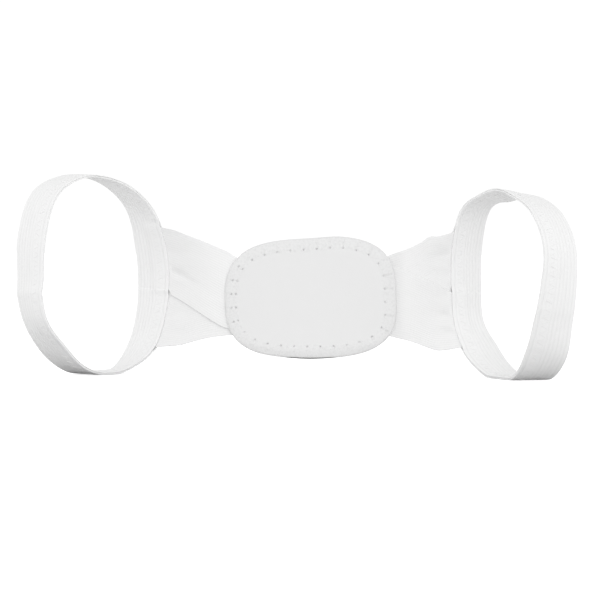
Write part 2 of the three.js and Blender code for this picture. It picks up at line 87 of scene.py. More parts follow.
# The two loops. rims holds the radius of the near and the far rim, as shares of the loop's
# half sizes, at every ROW_TURN degrees from the wing's side over the top. upper and lower
# are the share of its width that each band keeps where it is gathered into the loop, and
# crease holds the turn and the height of a soft fold.
ROW_TURN = 22.5
LEFT_LOOP = {
    "name": "left",
    "side": -1,
    "half_width": 63,
    "half_height": 78.5,
    "yaw": 43,
    "reach": 113,
    "setback": 26,
    "seam_turn": -8.3,
    "upper": 0.95,
    "lower": 0.86,
    "crease": (189, 2.0),
    "rims": [
        (0.98, 0.86), (0.975, 0.87), (0.975, 0.955), (0.965, 0.98),
        (0.99, 1.015), (1.07, 1.08), (1.13, 1.165), (1.055, 1.1),
        (1.0, 1.02), (1.04, 1.035), (0.965, 1.01), (0.975, 1.0),
        (0.985, 1.015), (0.995, 1.06), (1.035, 0.995), (0.99, 0.91),
    ],
}
RIGHT_LOOP = {
    "name": "right",
    "side": 1,
    "half_width": 63,
    "half_height": 75,
    "yaw": 60,
    "reach": 113,
    "setback": 25,
    "seam_turn": -6.3,
    "upper": 0.86,
    "lower": 0.86,
    "crease": (196, 0.5),
    "rims": [
        (0.96, 1.02), (1.02, 1.09), (1.085, 1.15), (1.005, 0.96),
        (0.99, 0.925), (0.98, 0.94), (1.04, 0.995), (1.055, 1.02),
        (0.935, 0.97), (0.88, 0.975), (0.93, 1.09), (1.03, 1.085),
        (1.0, 1.0), (0.975, 0.95), (1.0, 0.94), (1.005, 1.045),
    ],
}
LOOPS = (LEFT_LOOP, RIGHT_LOOP)

# How the webbing lies, in millimetres, softer than the stiff plies of the solids
LAP_RISE = 0.3
FLOOR_ROUNDING = 1.2  # softens the bends at the ends of a loop's flattened bottom
RIM_GAP = 0.1  # left of the slit at the near rim, where the plies are sewn together
SEAM_FADE = 0.1  # share of a band's width over which a loop closes again round it
OPENING_DEPTH = 1.6  # how deep a loop is open, against the depth that holds a band
OPENING_TURN = 0.6  # degrees that a loop stays open past a band
CHANGEOVER = 5  # before the seam, where a ply starts to leave one band's side for the other's
CHANGEOVER_END = 0.625
CREASE_LENGTH = 9  # round the loop, over which a crease fades to about a third
PUCKER_SINK = 0.6  # how far the cloth between puckers is drawn in, against their height

# The pad's outline: turns, and how far it departs from a superellipse there
PAD_TURNS = (0, 60, 90, 150, 180, 240, 270, 330)
PAD_SHARES = (1.005, 1.02, 0.99, 0.978, 1.004, 1.0, 1.02, 1.028)

# Across a pad sheet: how far it swells, as a share of its puff, on the way to its edge. Its
# face is more level than the solid's, and its edge is rolled.
PAD_REACHES = (0, 0.5, 0.78, 0.88, 0.95, 0.985, 1)
PAD_CROWNS = (1, 0.995, 0.97, 0.94, 0.88, 0.6, 0.1)
PAD_COVER_MARGIN = 0.07  # of the pad's height, by which its sheets stay apart past the bands
PAD_COVER_FADE = 1.25  # and the share of that height at which they have closed
PAD_ROLL_START = 0.84  # share of the way to the edge where the padding starts to thin out
PAD_THIN_START = 0.9  # and where the sheet itself does

# Each wing: how far its upper and lower edges have gone from their heights at the loop to
# their heights under the pad, at places along it from the loop (0) to the pad's edge (1)
WINGS = {
    "frontLeft": {
        "along": (0, 0.05, 0.2, 0.4, 0.6, 0.8, 1, 1.2),
        "upper": (0, 0.02, 0.085, 0.255, 0.41, 0.585, 0.78, 1),
        "lower": (0, 0.13, 0.24, 0.39, 0.56, 0.76, 0.96, 1),
    },
    "backLeft": {
        "along": (0, 0.2, 0.4, 0.6, 0.8, 1, 1.2),
        "upper": (0, 0.2, 0.4, 0.6, 0.8, 0.92, 1),
        "lower": (0, 0.11, 0.23, 0.51, 0.76, 0.92, 1),
    },
    "frontRight": {
        "along": (0, 0.2, 0.4, 0.6, 0.8, 1, 1.2),
        "upper": (0, 0.17, 0.34, 0.5, 0.67, 0.85, 1),
        "lower": (0, -0.15, -0.19, 0.14, 0.51, 0.78, 1),
    },
    "backRight": {
        "along": (0, 0.15, 0.3, 0.45, 0.6, 0.8, 1, 1.2),
        "upper": (0, 0.12, 0.19, 0.2, 0.42, 0.65, 0.84, 1),
        "lower": (0, 0.12, 0.25, 0.4, 0.5, 0.67, 0.84, 1),
    },
}
WING_END = 1.2
WING_PULL = 0.42  # how long a wing keeps its heading at each end, as a share of its span

# How far above the pad's centre each band's upper edge passes, as shares of its width
BANDS = {
    "front": {"left": 0.545, "right": 0.486, "wings": ("frontLeft", "frontRight")},
    "back": {"left": 0.47, "right": 0.562, "wings": ("backLeft", "backRight")},
}

# Dents (+) and swells (-) of the wings: wing, place along it, level, length, breadth,
# slope in degrees and depth. Level, length and breadth are shares of the pad's height and
# depth is a share of the band's width.
DENTS = (
    (-1, 0.2, 0.185, 0.14, 0.034, -28, 0.024),
    (-1, 0.42, 0.02, 0.2, 0.06, -22, -0.008),
    (-1, 0.62, -0.12, 0.2, 0.07, -25, -0.008),
    (1, 0.2, 0.5, 0.1, 0.055, 35, -0.01),
    (1, 0.22, 0.36, 0.12, 0.05, 22, 0.011),
    (1, 0.12, -0.14, 0.08, 0.04, -12, 0.016),
    (1, 0.12, -0.28, 0.08, 0.035, -16, 0.016),
)

# Pleats where a band is gathered, in millimetres
PLEAT_WIDTH = 16
PLEAT_DEPTH = 0.3
PLEAT_REACH = 0.14  # place along the wing where the pleats are deepest
RELIEF_START = 0.06  # places between which the dents have their full depth
RELIEF_END = 0.8

# Where things lie on the cloth, in millimetres
RIM_GROOVE = 3.2  # from a loop's near rim to the deep groove where its turned edge ends
RIM_GROOVE_HALF = 1  # half the width of that groove
ZIGZAG_LINE = 8.5  # from a loop's near rim to the middle of its zigzag
STITCHED_ZONE = 13  # width of the smoother cloth along a loop's near rim
STITCHED_FADE = (STITCHED_ZONE - 2, STITCHED_ZONE + 1)
NEEDLE_INSET = 9  # from the pad's edge in to its needle holes
CRAZED_START = 1.5  # from the pad's edge in to where its border is fully crazed
CRAZED_FADE = 3  # past the needle holes, where that ends
SECOND_ROW = 3.6  # how much nearer the edge the overlapping row of holes lies
FURROW = 1.5  # depth under a thread, against the thread's radius
PAD_LOW_EDGE_SHADOW_WIDTH = (2, 3)  # the width over which the painted shadow along the back sheet's lower edge fades

# How much of a rib's height is left where the cloth is stitched and in the rim's groove
STITCHED_RIBS = 0.15
GROOVE_RIBS = 1.2

# In degrees round the pad: where the second row of needle holes lies, and where the back
# sheet shows most below the front one
SECOND_ROW_TURN = 180
SECOND_ROW_SPREAD = 28
BACK_SHOWS_TURN = 268
BACK_SHOWS_SPREAD = 24
PAD_LOW_EDGE_SHADOW_SHOWS = (0.25, 0.6)  # that painted shadow starts and is whole at these shares of that

# Shades painted on the cloth, from 0 for none to 1 for black, before a material's own share
PAD_LOW_EDGE_SHADOW = 2.2  # painted shadow along the back sheet's lower edge under the front sheet, of which its material takes 0.4
BESIDE_PAD_SHADE = 0.07  # painted shadow of the pad on the right wing, where the pad stands up beside it
BESIDE_PAD_REACH = 0.1
HOLLOW_SHADE = 0.04  # painted shade in the wings' dents, for each millimetre that a dent is deep
BAND_EDGE_SHADOW = 0.3  # painted shadow under the front band's lower edge, where it lies over the other band
UNEVEN_STEP = 2.4  # turns neighbouring needle holes into unlike ones
FURROW_SHADE = 0.4  # painted shade in the furrow under a thread on the right, against a hole's painted shade

# Fineness of the meshes, and the steps by which slopes and joins are found on them
SLOPE_TURN = 1.5
SLOPE_SHARE = 0.05
JOIN_RANGE = (-70, 60)
HALVINGS = 24
ACROSS_STEP = 0.1
LOOP_STATIONS = 264
FACE_POINTS = 76
SLIT_POINTS = 12
EDGE_POINTS = 4
EDGE_SQUARENESS = 0.5  # of the near rim's two edges: 1 is round and less is squarer
WING_STATIONS = 76
HELD_STATIONS = 6
HIDDEN_STATIONS = 12
POINTS_PER_RIB = 5
PAD_SPOKES = 840
PAD_BODY_RINGS = 26
PAD_RIM_RINGS = 40
PAD_RIM_START = 0.76
PAD_INNER_RINGS = 8

# The photograph: a square of PHOTO_SIDE pixels, seen from far off
PHOTO_SIDE = 600
FOCAL_PIXELS = 1875
SENSOR = 36
CAMERA_DISTANCE = 1500
CAMERA_ASIDE = -8.3
CAMERA_AIM_HEIGHT = 60.3
CAMERA_DROP = 1.5  # degrees that it looks down
CAMERA_ROLL = 0.4

# The light: the way that the softbox shines and how wide it looks, and the heights of the
# world, from -1 below to 1 overhead, between which its brightness changes
SOFTBOX_SHINING = (-0.06, 1, -0.06)
SOFTBOX_ANGLE = 50
GROUND_FADE = (-0.3, 0.0)
SKY_FADE = (0.2, 1.0)
SHADE_REACH = 30  # how far a loop's own shadow on the floor reaches past it, in millimetres
SHADE_DROP = 1  # how far under the floor it is laid


def linear(code):
    """Turns an sRGB hex colour into the linear values that shaders take."""
    values = [int(code[i : i + 2], 16) / 255 for i in (1, 3, 5)]
    return [v / 12.92 if v <= 0.04045 else ((v + 0.055) / 1.055) ** 2.4 for v in values]


def colour_property(name, description, code):
    return FloatVectorProperty(
        name=name, description=description, default=linear(code), subtype="COLOR", min=0, max=1
    )


def length_property(name, description, millimetres):
    return FloatProperty(
        name=name, description=description, default=millimetres * MM, min=0, unit="LENGTH"
    )


class PadSettings(bpy.types.PropertyGroup):
    """Sizes and colours of the back pad"""

    sheet: length_property("Sheet", "Thickness of each pad sheet", 1.6)
    puff: length_property("Puff", "How far the front sheet swells over the bands", 1.5)
    back_drop: length_property("Back Drop", "How far the back sheet shows below the front", 1.0)
    needle_pitch: length_property("Needle Pitch", "Distance between needle holes", 10.6)
    needle_width: length_property("Needle Width", "Radius of the dimple at a hole", 0.65)
    needle_depth: length_property("Needle Depth", "Depth of the dimple at a hole", 1.3)
    stitch: length_property("Stitch", "Length of the thread from a hole outward", 6.5)
    thread: length_property("Thread", "Radius of the sewing thread", 0.12)
    colour: colour_property("Colour", "Colour of the coated cloth", "#EFEFEF")


class BandSettings(bpy.types.PropertyGroup):
    """Sizes and colour of the crossed elastic bands"""

    rib_pitch: length_property("Rib Pitch", "Distance between the elastic's ribs", 1.9)
    rib_height: length_property("Rib Height", "Depth of the grooves between ribs", 0.07)
    unevenness: length_property("Unevenness", "How far the cloth wanders off a fair surface", 0.25)
    colour: colour_property("Colour", "Colour of the elastic", "#FBFBFB")


class LoopSettings(bpy.types.PropertyGroup):
    """Sizes and colours of the arm loops"""

    rib_pitch: length_property("Rib Pitch", "Distance between the webbing's ribs", 3.2)
    rib_height: length_property("Rib Height", "Depth of the grooves between ribs", 0.22)
    unevenness: length_property("Unevenness", "How far the cloth wanders off a fair surface", 0.25)
    pucker: length_property("Pucker", "Height of the puckers that the zigzag pulls up", 0.12)
    zigzag_width: length_property("Zigzag Width", "Width of the zigzag stitch", 6.5)
    zigzags: IntProperty(name="Zigzags", description="Zigzags round a loop", default=66, min=8)
    thread: length_property("Thread", "Radius of the sewing thread", 0.12)
    colour: colour_property("Colour", "Colour of the webbing", "#FCFCFC")
    thread_colour: colour_property("Thread Colour", "Colour of the thread", "#F5F5F5")


class StageSettings(bpy.types.PropertyGroup):
    """Floor and light"""

    floor_size: FloatProperty(
        name="Floor Size", description="Side of the floor", default=100, min=1, unit="LENGTH"
    )
    floor_colour: colour_property("Floor Colour", "Colour of the floor", "#F4F4F4")
    # Painted shade: the grey of the sheet that stands in for the loops' shadow on the floor
    shade_colour: colour_property("Shade Colour", "Colour of the floor by the loops", "#C4C4C4")
    glow: FloatProperty(name="Glow", description="Light through the floor", default=0.7, min=0)
    horizon: FloatProperty(name="Horizon", description="Brightness around", default=1.05, min=0)
    zenith: FloatProperty(name="Zenith", description="Brightness overhead", default=0.7, min=0)
    ground: FloatProperty(name="Ground", description="Brightness below", default=0.64, min=0)
    key: FloatProperty(name="Key", description="Strength of the soft front light", default=0.55)


class CorrectorSettings(bpy.types.PropertyGroup):
    """All that a user may change"""

    pad: PointerProperty(type=PadSettings)
    bands: PointerProperty(type=BandSettings)
    loops: PointerProperty(type=LoopSettings)
    stage: PointerProperty(type=StageSettings)


# Curves through tables, and small helpers


def read_curve(xs, ys, at):
    """Reads a smooth curve through points with rising xs, at an array of places."""
    xs, ys = np.asarray(xs, float), np.asarray(ys, float)
    i = np.clip(np.searchsorted(xs, at) - 1, 0, len(xs) - 2)
    before, after = np.maximum(i - 1, 0), np.minimum(i + 2, len(xs) - 1)
    span = xs[i + 1] - xs[i]
    share = np.clip((at - xs[i]) / span, 0, 1)
    slope_in = (ys[i + 1] - ys[before]) / (xs[i + 1] - xs[before]) * span
    slope_out = (ys[after] - ys[i]) / (xs[after] - xs[i]) * span
    square, cube = share**2, share**3
    return (
        ys[i] * (2 * cube - 3 * square + 1)
        + slope_in * (cube - 2 * square + share)
        + ys[i + 1] * (3 * square - 2 * cube)
        + slope_out * (cube - square)
    )


def read_round(turns, values, at):
    """The same for a table that goes once round, in degrees."""
    xs = [turns[-1] - 360, *turns, 360, turns[1] + 360]
    ys = [values[-1], *values, values[0], values[1]]
    return read_curve(xs, ys, np.mod(at, 360))


def smooth(value, start, end):
    share = np.clip((value - start) / (end - start), 0, 1)
    return share * share * (3 - 2 * share)


def mix(a, b, share):
    return a + (b - a) * share


def unit(vectors):
    return vectors / np.linalg.norm(vectors, axis=-1, keepdims=True)


def pad_place():
    """Where the pad's centre stands in the part's frame, found from its CAD sheets."""
    sideways, _ = pad_in_frame(pad_edge(np.arange(0, 360, 10)))
    front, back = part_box("pad_front"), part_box("pad_back")
    return np.array([front[0].x / MM - sideways.min(), (front[1].y + back[0].y) / 2 / MM, 0])


# The loops


def loop_point(loop, turn, across):
    """A point of a loop's middle surface. turn goes round it in degrees from the wing's side
    over the top, and across from the near rim (0) to the far rim (1)."""
    side, yaw = loop["side"], math.radians(loop["yaw"])
    axis = np.array([side * math.sin(yaw), math.cos(yaw), 0])
    inward = np.array([-side * math.cos(yaw), math.sin(yaw), 0])
    entry = np.array([side * loop["reach"], loop["setback"], 0])
    turns = np.arange(0, 360, ROW_TURN)
    near, far = (read_round(turns, rim, turn) for rim in zip(*loop["rims"]))
    radius = mix(near, far, across)
    angle = np.radians(turn)
    out = loop["half_width"] * (radius * np.cos(angle) - 1)
    point = entry + out[..., None] * inward + (STRAP_WIDTH * across)[..., None] * axis
    height = CLOSED_HALF - FLOOR_PRESS + loop["half_height"] * (1 + radius * np.sin(angle))
    above = height - CLOSED_HALF
    point[..., 2] = CLOSED_HALF + (above + np.sqrt(above**2 + FLOOR_ROUNDING**2)) / 2
    return point


def loop_normal(loop, turn, across):
    """The loop's outward normal at points of its middle surface."""
    low, high = np.maximum(across - SLOPE_SHARE, 0), np.minimum(across + SLOPE_SHARE, 1)
    before, after = (loop_point(loop, turn + step, across) for step in (-SLOPE_TURN, SLOPE_TURN))
    round_it = after - before
    over = loop_point(loop, turn, high) - loop_point(loop, turn, low)
    return unit(np.cross(round_it, over)) * loop["side"]


def turn_of(loop, length):
    return math.degrees(length / loop["half_height"])


def band_turns(loop):
    """The turns between which the upper and the lower band enter a loop."""
    seam, gap = loop["seam_turn"], turn_of(loop, GAP)
    top = seam + turn_of(loop, BAND_WIDTH * loop["upper"])
    bottom = seam - turn_of(loop, BAND_WIDTH * loop["lower"])
    return (top, seam + gap), (seam - gap, bottom)


def openness(loop, turn, across):
    """How far the bands open the slit between a loop's plies, from 0 to 1."""
    (top, _), (_, bottom) = band_turns(loop)
    spread = turn_of(loop, BAND_WIDTH * SEAM_FADE)
    signed = np.mod(turn + 180, 360) - 180
    low, high = bottom - OPENING_TURN, top + OPENING_TURN
    held = smooth(signed, low - spread, low) * (1 - smooth(signed, high, high + spread))
    return held * (1 - smooth(across, HELD_SHARE, HELD_SHARE * OPENING_DEPTH))


def half_thickness(loop, turn, across, facing):
    """How far a face lies from the loop's middle surface. Each ply lies close to the band
    that it helps to hold, and near the seam it stays clear of both."""
    above_seam = np.mod(turn - loop["seam_turn"] + 180, 360) - 180
    own_side = above_seam * loop["side"] * facing
    change, end = turn_of(loop, CHANGEOVER), turn_of(loop, CHANGEOVER_END)
    nearer = smooth(own_side, -change, -end)
    held = HELD_HALF + mix(-BAND_SPACING / 2, BAND_SPACING / 2, nearer)
    return mix(CLOSED_HALF, held, openness(loop, turn, across))


def crease(loop, turn):
    """A soft fold across the webbing, where the loop was bent flat in its packing."""
    at, height = loop["crease"]
    away = np.abs(np.mod(turn - at + 180, 360) - 180)
    return height * np.exp(-away / turn_of(loop, CREASE_LENGTH))


def webbing_section():
    """Once round the folded webbing's section: how far each point lies from the near rim,
    its face (1 outside, -1 inside), its depth under that face and how much its ribs show."""
    round_edge = np.linspace(0, math.pi, EDGE_POINTS + 2)[1:-1]
    edge_ply = CLOSED_HALF - RIM_GAP / 2
    edge_across = edge_ply / 2 * (1 - np.sin(round_edge) ** EDGE_SQUARENESS)
    edge_depth = edge_ply / 2 * (1 - np.cos(round_edge))
    face = np.linspace(STRAP_PLY / 2, STRAP_WIDTH - CLOSED_HALF, FACE_POINTS)
    fold = np.linspace(math.pi / 2, 0, EDGE_POINTS + 2)[1:]
    fold_across = STRAP_WIDTH - CLOSED_HALF + CLOSED_HALF * np.cos(fold)
    fold_depth = CLOSED_HALF * (1 - np.sin(fold))
    slit = np.linspace(STRAP_PLY / 2, STRAP_WIDTH - 2 * CLOSED_HALF, SLIT_POINTS)
    slit_depth = mix(edge_ply, STRAP_PLY, smooth(slit, 0, STITCHED_ZONE))
    ribs = mix(STITCHED_RIBS, 1, smooth(face, *STITCHED_FADE))
    ribs = np.where(np.abs(face - RIM_GROOVE) < RIM_GROOVE_HALF, GROOVE_RIBS, ribs)
    edge = (edge_across, edge_depth, edge_across * 0)
    level = (face, face * 0, ribs)
    turned = (fold_across, fold_depth, fold * 0)
    lining = (slit, slit_depth, slit * 0)
    # Each part in turn, with the face that it lies on and the way that it is run through
    order = [(edge, 1, -1), (level, 1, 1), (turned, 1, 1), (turned, -1, -1), (level, -1, -1)]
    order += [(edge, -1, 1), (lining, -1, 1), (lining, 1, -1)]
    rows = [np.stack([*part, part[0] * 0 + facing])[:, ::way] for part, facing, way in order]
    # The fold's two halves share their middle point
    rows[3] = rows[3][:, 1:]
    across, depth, relief, facing = np.concatenate(rows, axis=1)
    return across, facing, depth, relief


def loop_stations(loop):
    """Turns round a loop, starting at the seam where its ends lap, fine at the lap's edges."""
    turns = list(np.linspace(0, -360, LOOP_STATIONS, endpoint=False))
    edge = turn_of(loop, LAP_RISE)
    turns += [-edge / 3, -edge * 2 / 3, -edge, edge / 2 - 360]
    return loop["seam_turn"] + np.array(sorted(set(turns), reverse=True))


def loop_cloth(loop, settings):
    """The points of a loop's webbing, [station, point of the section]."""
    across, facing, depth, relief = webbing_section()
    turn = loop_stations(loop)[:, None]
    share = np.broadcast_to(across / STRAP_WIDTH, (len(turn), len(across)))
    turn = np.broadcast_to(turn, share.shape)
    middle = loop_point(loop, turn, share)
    half = half_thickness(loop, turn, share, facing)
    from_seam = loop["seam_turn"] - turn
    lap, edge = turn_of(loop, LAP_LENGTH), turn_of(loop, LAP_RISE)
    lapped = smooth(from_seam, 0, edge) * (1 - smooth(from_seam, lap / 3, lap))
    rise = LAP_RISE * lapped * (facing < 0) * (depth == 0)
    waves = np.sin(np.radians(from_seam) * settings.zigzags)
    zone = np.exp(-(((across - ZIGZAG_LINE) / (STITCHED_ZONE / 4)) ** 2)) * (depth == 0)
    pucker = settings.pucker / MM * zone * (waves - PUCKER_SINK)
    offset = facing * (half - depth + rise + pucker) + crease(loop, turn)
    points = middle + loop_normal(loop, turn, share) * offset[..., None]
    points[..., 2] = np.maximum(points[..., 2], 0)
    return points, across, relief


def zigzag_path(loop, facing):
    """The middle line of a loop's zigzag on one face, with the ways across and out."""
    turn = loop["seam_turn"] - np.arange(0, 360, 1.0)
    share = np.full(len(turn), ZIGZAG_LINE / STRAP_WIDTH)
    normal = loop_normal(loop, turn, share) * facing
    half = half_thickness(loop, turn, share, facing) + crease(loop, turn) * facing
    points = loop_point(loop, turn, share) + normal * half[:, None]
    near, far = (loop_point(loop, turn, share + step) for step in (-ACROSS_STEP, ACROSS_STEP))
    return points, unit(far - near), normal


# The bands


def turn_at_height(loop, height):
    """The turn at which a loop's near rim reaches a height, on the wing's side."""
    low, high = (np.full(height.shape, float(turn)) for turn in JOIN_RANGE)
    for _ in range(HALVINGS):
        middle = (low + high) / 2
        below = loop_point(loop, middle, middle * 0)[..., 2] < height
        low, high = np.where(below, middle, low), np.where(below, high, middle)
    return (low + high) / 2


def bezier(a, b, c, d, t):
    return a * (1 - t) ** 3 + 3 * b * t * (1 - t) ** 2 + 3 * c * t * t * (1 - t) + d * t**3


def wing_relief(loop, along, height):
    """Dents and pleats of a wing, as a distance behind its plain surface."""
    level = (height - PAD_CENTRE_HEIGHT) / PAD_HEIGHT
    wing_length = (loop["reach"] - PAD_WIDTH / 2) / PAD_HEIGHT
    depth = along * 0
    for wing, place, dent_level, length, breadth, slope, dent in DENTS:
        if wing != loop["side"]:
            continue
        out = (along - place) * wing_length * -loop["side"]
        up = level - dent_level
        cosine, sine = math.cos(math.radians(slope)), math.sin(math.radians(slope))
        lengthwise = (out * cosine + up * sine) / length
        crosswise = (up * cosine - out * sine) / breadth
        depth = depth + dent * BAND_WIDTH * np.exp(-(lengthwise**2) - crosswise**2)
    fade = along / PLEAT_REACH * np.exp(1 - along / PLEAT_REACH)
    wave = np.sin(level * PAD_HEIGHT * 2 * math.pi / PLEAT_WIDTH)
    at_ends = smooth(along, 0, RELIEF_START) * (1 - smooth(along, RELIEF_END, 1))
    return depth * at_ends + PLEAT_DEPTH * wave * fade


def wing_point(loop, along, height):
    """The wings' common surface, which leaves a loop along its webbing and ends flat at the
    pad (along 1), behind which it goes straight on."""
    turn = turn_at_height(loop, height)
    start = loop_point(loop, turn, turn * 0)
    heading = start - loop_point(loop, turn, turn * 0 + HELD_SHARE)
    heading[..., 2] = 0
    heading = unit(heading)
    end = loop["side"] * PAD_WIDTH / 2
    pull = np.abs(start[..., 0] - end) * WING_PULL
    t = np.minimum(along, 1)
    x = bezier(
        start[..., 0],
        start[..., 0] + heading[..., 0] * pull,
        end + loop["side"] * pull,
        end,
        t,
    )
    y = bezier(start[..., 1], start[..., 1] + heading[..., 1] * pull, 0, 0, t)
    y = y + np.where(along > 1, 0, wing_relief(loop, along, height))
    x = x + np.where(along > 1, (start[..., 0] - end) * (1 - along), 0)
    return np.stack([x, y, height], -1)


def band_grid(band, upper_on_left, columns):
    """Middle points of a band, [station from the left loop to the right one, across]."""
    across = np.linspace(0, 1, columns)
    wings = []
    for loop in LOOPS:
        left = loop["side"] < 0
        upper, lower = band_turns(loop)
        top_turn, low_turn = upper if left == upper_on_left else lower
        wing = WINGS[band["wings"][0 if left else 1]]
        pad_top = PAD_CENTRE_HEIGHT + BAND_WIDTH * band["left" if left else "right"]
        held = np.linspace(BAND_INSERT / STRAP_WIDTH, 0, HELD_STATIONS, endpoint=False)
        turn = np.broadcast_to(mix(top_turn, low_turn, across), (HELD_STATIONS, columns))
        share = np.broadcast_to(held[:, None], turn.shape)
        ends = loop_point(loop, np.array([top_turn, low_turn]), np.zeros(2))[:, 2]
        along = np.linspace(0, WING_END, WING_STATIONS)
        top = mix(ends[0], pad_top, read_curve(wing["along"], wing["upper"], along))
        low = mix(ends[1], pad_top - BAND_WIDTH, read_curve(wing["along"], wing["lower"], along))
        height = mix(top[:, None], low[:, None], across)
        surface = wing_point(loop, np.broadcast_to(along[:, None], height.shape), height)
        wings.append(np.concatenate([loop_point(loop, turn, share), surface]))
    left, right = wings[0], wings[1][::-1]
    hidden = np.linspace(0, 1, HIDDEN_STATIONS + 2)[1:-1, None, None]
    return np.concatenate([left, mix(left[-1], right[0], hidden), right])


def band_cloth(grid, offset):
    """Gives a grid of middle points its thickness, with rounded edges."""
    along = np.gradient(grid, axis=0)
    down = np.gradient(grid, axis=1)
    normal = unit(np.cross(down, along))
    down = unit(down)
    half = BAND_THICKNESS / 2
    round_edge = np.linspace(0, math.pi, EDGE_POINTS + 2)[1:-1]
    edges = []
    for column, way in ((-1, 1), (0, -1)):
        centre = grid[:, column] + normal[:, column] * offset
        turned = round_edge if way > 0 else round_edge + math.pi
        for angle in turned:
            out = down[:, column] * math.sin(angle) + normal[:, column] * math.cos(angle)
            edges.append(centre + out * half)
    lower, upper = edges[:EDGE_POINTS], edges[EDGE_POINTS:]
    front = grid + normal * (offset + half)
    back = (grid + normal * (offset - half))[:, ::-1]
    return np.concatenate([front, np.stack(lower, 1), back, np.stack(upper, 1)], axis=1)


def band_section(columns):
    """Once round a band's section: how far each point lies from its upper edge, and how much
    its ribs show."""
    across, edge, ribs = np.linspace(0, BAND_WIDTH, columns), np.ones(EDGE_POINTS), np.ones(columns)
    places = np.concatenate([across, edge * BAND_WIDTH, across[::-1], edge * 0])
    return places, np.concatenate([ribs, edge * 0, ribs, edge * 0])


def band_shade(name, grid, size):
    """The painted shade on a band with size points in each section: the pad's shadow on the right
    wing, shade in the dents of both and the shadow under the front band's edge on the left one."""
    columns = grid.shape[1]
    along = np.linspace(0, WING_END, WING_STATIONS)[:, None]
    left_wing = slice(HELD_STATIONS, HELD_STATIONS + WING_STATIONS)
    right_wing = slice(-HELD_STATIONS - 1, -HELD_STATIONS - 1 - WING_STATIONS, -1)
    shade = np.zeros((len(grid), size))
    shade[right_wing] = BESIDE_PAD_SHADE * np.exp(-(((along - 1) / BESIDE_PAD_REACH) ** 2))
    for loop, wing in ((LEFT_LOOP, left_wing), (RIGHT_LOOP, right_wing)):
        hollow = np.maximum(wing_relief(loop, along, grid[wing, :, 2]), 0)
        shade[wing, :columns] += HOLLOW_SHADE * hollow
    if name == "front":
        shade[left_wing, columns : columns + EDGE_POINTS] = BAND_EDGE_SHADOW
    return shade


# The pad


def pad_in_frame(flat):
    """Turns ways or points of the pad's own plane into the tilt that it has, as (x, z)."""
    tilt = math.radians(PAD_TILT)
    x = flat[..., 0] * math.cos(tilt) - flat[..., 1] * math.sin(tilt)
    return x, flat[..., 0] * math.sin(tilt) + flat[..., 1] * math.cos(tilt)


def pad_edge(turn):
    """The pad's edge in its own upright plane, [..., (x, z)]."""
    angle = np.radians(turn)
    across = np.abs(np.cos(angle) / (PAD_WIDTH / 2)) ** PAD_SQUARENESS
    up = np.abs(np.sin(angle) / (PAD_HEIGHT / 2)) ** PAD_SQUARENESS
    radius = (across + up) ** (-1 / PAD_SQUARENESS) * read_round(PAD_TURNS, PAD_SHARES, turn)
    return np.stack([radius * np.cos(angle), radius * np.sin(angle)], -1)


def pad_half_space(upright):
    """Half the space between the pad's sheets: wide over the bands, closed beyond them."""
    held = (BAND_SPACING + BAND_THICKNESS) / 2 + GAP
    stack = (BAND_WIDTH / 2 + PAD_HEIGHT * PAD_COVER_MARGIN) / (PAD_HEIGHT / 2)
    level = np.abs(upright) / (PAD_HEIGHT / 2)
    return mix(held, GAP / 2, smooth(level, stack, stack * PAD_COVER_FADE))


def pad_layer(flat, layer, facing, sheet, puff):
    """Points of a pad sheet over points of the pad's plane. layer is 0 on the side of the
    bands and 1 outside."""
    turn = np.degrees(np.arctan2(flat[..., 1], flat[..., 0]))
    radius = np.linalg.norm(pad_edge(turn), axis=-1)
    reach = np.linalg.norm(flat, axis=-1) / radius
    thickness = mix(sheet, PAD_EDGE, smooth(reach, PAD_THIN_START, 1))
    thickness = thickness + puff * read_curve(PAD_REACHES, PAD_CROWNS, np.minimum(reach, 1))
    x, upright = pad_in_frame(flat)
    space = pad_half_space(upright)
    filling = (pad_half_space(0) - space) * (1 - smooth(reach, PAD_ROLL_START, 1))
    y = facing * (space + layer * (thickness + filling))
    return np.stack([x, y, PAD_CENTRE_HEIGHT + upright], -1)


def needle_holes(pitch):
    """The needle holes in the pad's plane and the ways outward from them: one ring inside
    the edge, and a short second row on the left where the sewing overlaps itself."""
    turn = np.linspace(0, 360, 1440, endpoint=False)
    edge = pad_edge(turn)
    tangent = unit(np.roll(edge, -1, 0) - np.roll(edge, 1, 0))
    outward = np.stack([tangent[:, 1], -tangent[:, 0]], -1)
    ring = edge - outward * NEEDLE_INSET
    step = np.linalg.norm(np.roll(ring, -1, 0) - ring, axis=-1)
    run = np.concatenate([[0], np.cumsum(step)])
    count = round(run[-1] / pitch)
    wanted = (np.arange(count) + 0.5) / count * run[-1]
    at = np.searchsorted(run, wanted) - 1
    holes, ways = ring[at], outward[at]
    second = np.abs(turn[at] - SECOND_ROW_TURN) < SECOND_ROW_SPREAD
    extra = holes[second] + ways[second] * SECOND_ROW
    return np.concatenate([holes, extra]), np.concatenate([ways, ways[second]])


def pad_rings(length):
    """A sheet's section from its outer centre over its edge to its inner one, on spokes of
    some lengths: shares of the way to the edge, and layers from 1 outside to 0 inside."""
    body = np.linspace(0, PAD_RIM_START, PAD_BODY_RINGS, endpoint=False)[1:]
    outer = np.concatenate([body, np.linspace(PAD_RIM_START, 1, PAD_RIM_RINGS)])
    inner = np.linspace(1, 0, PAD_INNER_RINGS, endpoint=False)
    angle = np.linspace(0, math.pi, EDGE_POINTS + 4)[1:-1]
    edge_radius = PAD_EDGE / 2
    body_share = 1 - edge_radius / length
    round_edge = 1 - edge_radius * (1 - np.sin(angle)) / length
    shares = np.concatenate([body_share * outer, round_edge, body_share * inner], axis=1)
    return shares, np.concatenate([outer * 0 + 1, (1 + np.cos(angle)) / 2, inner * 0])


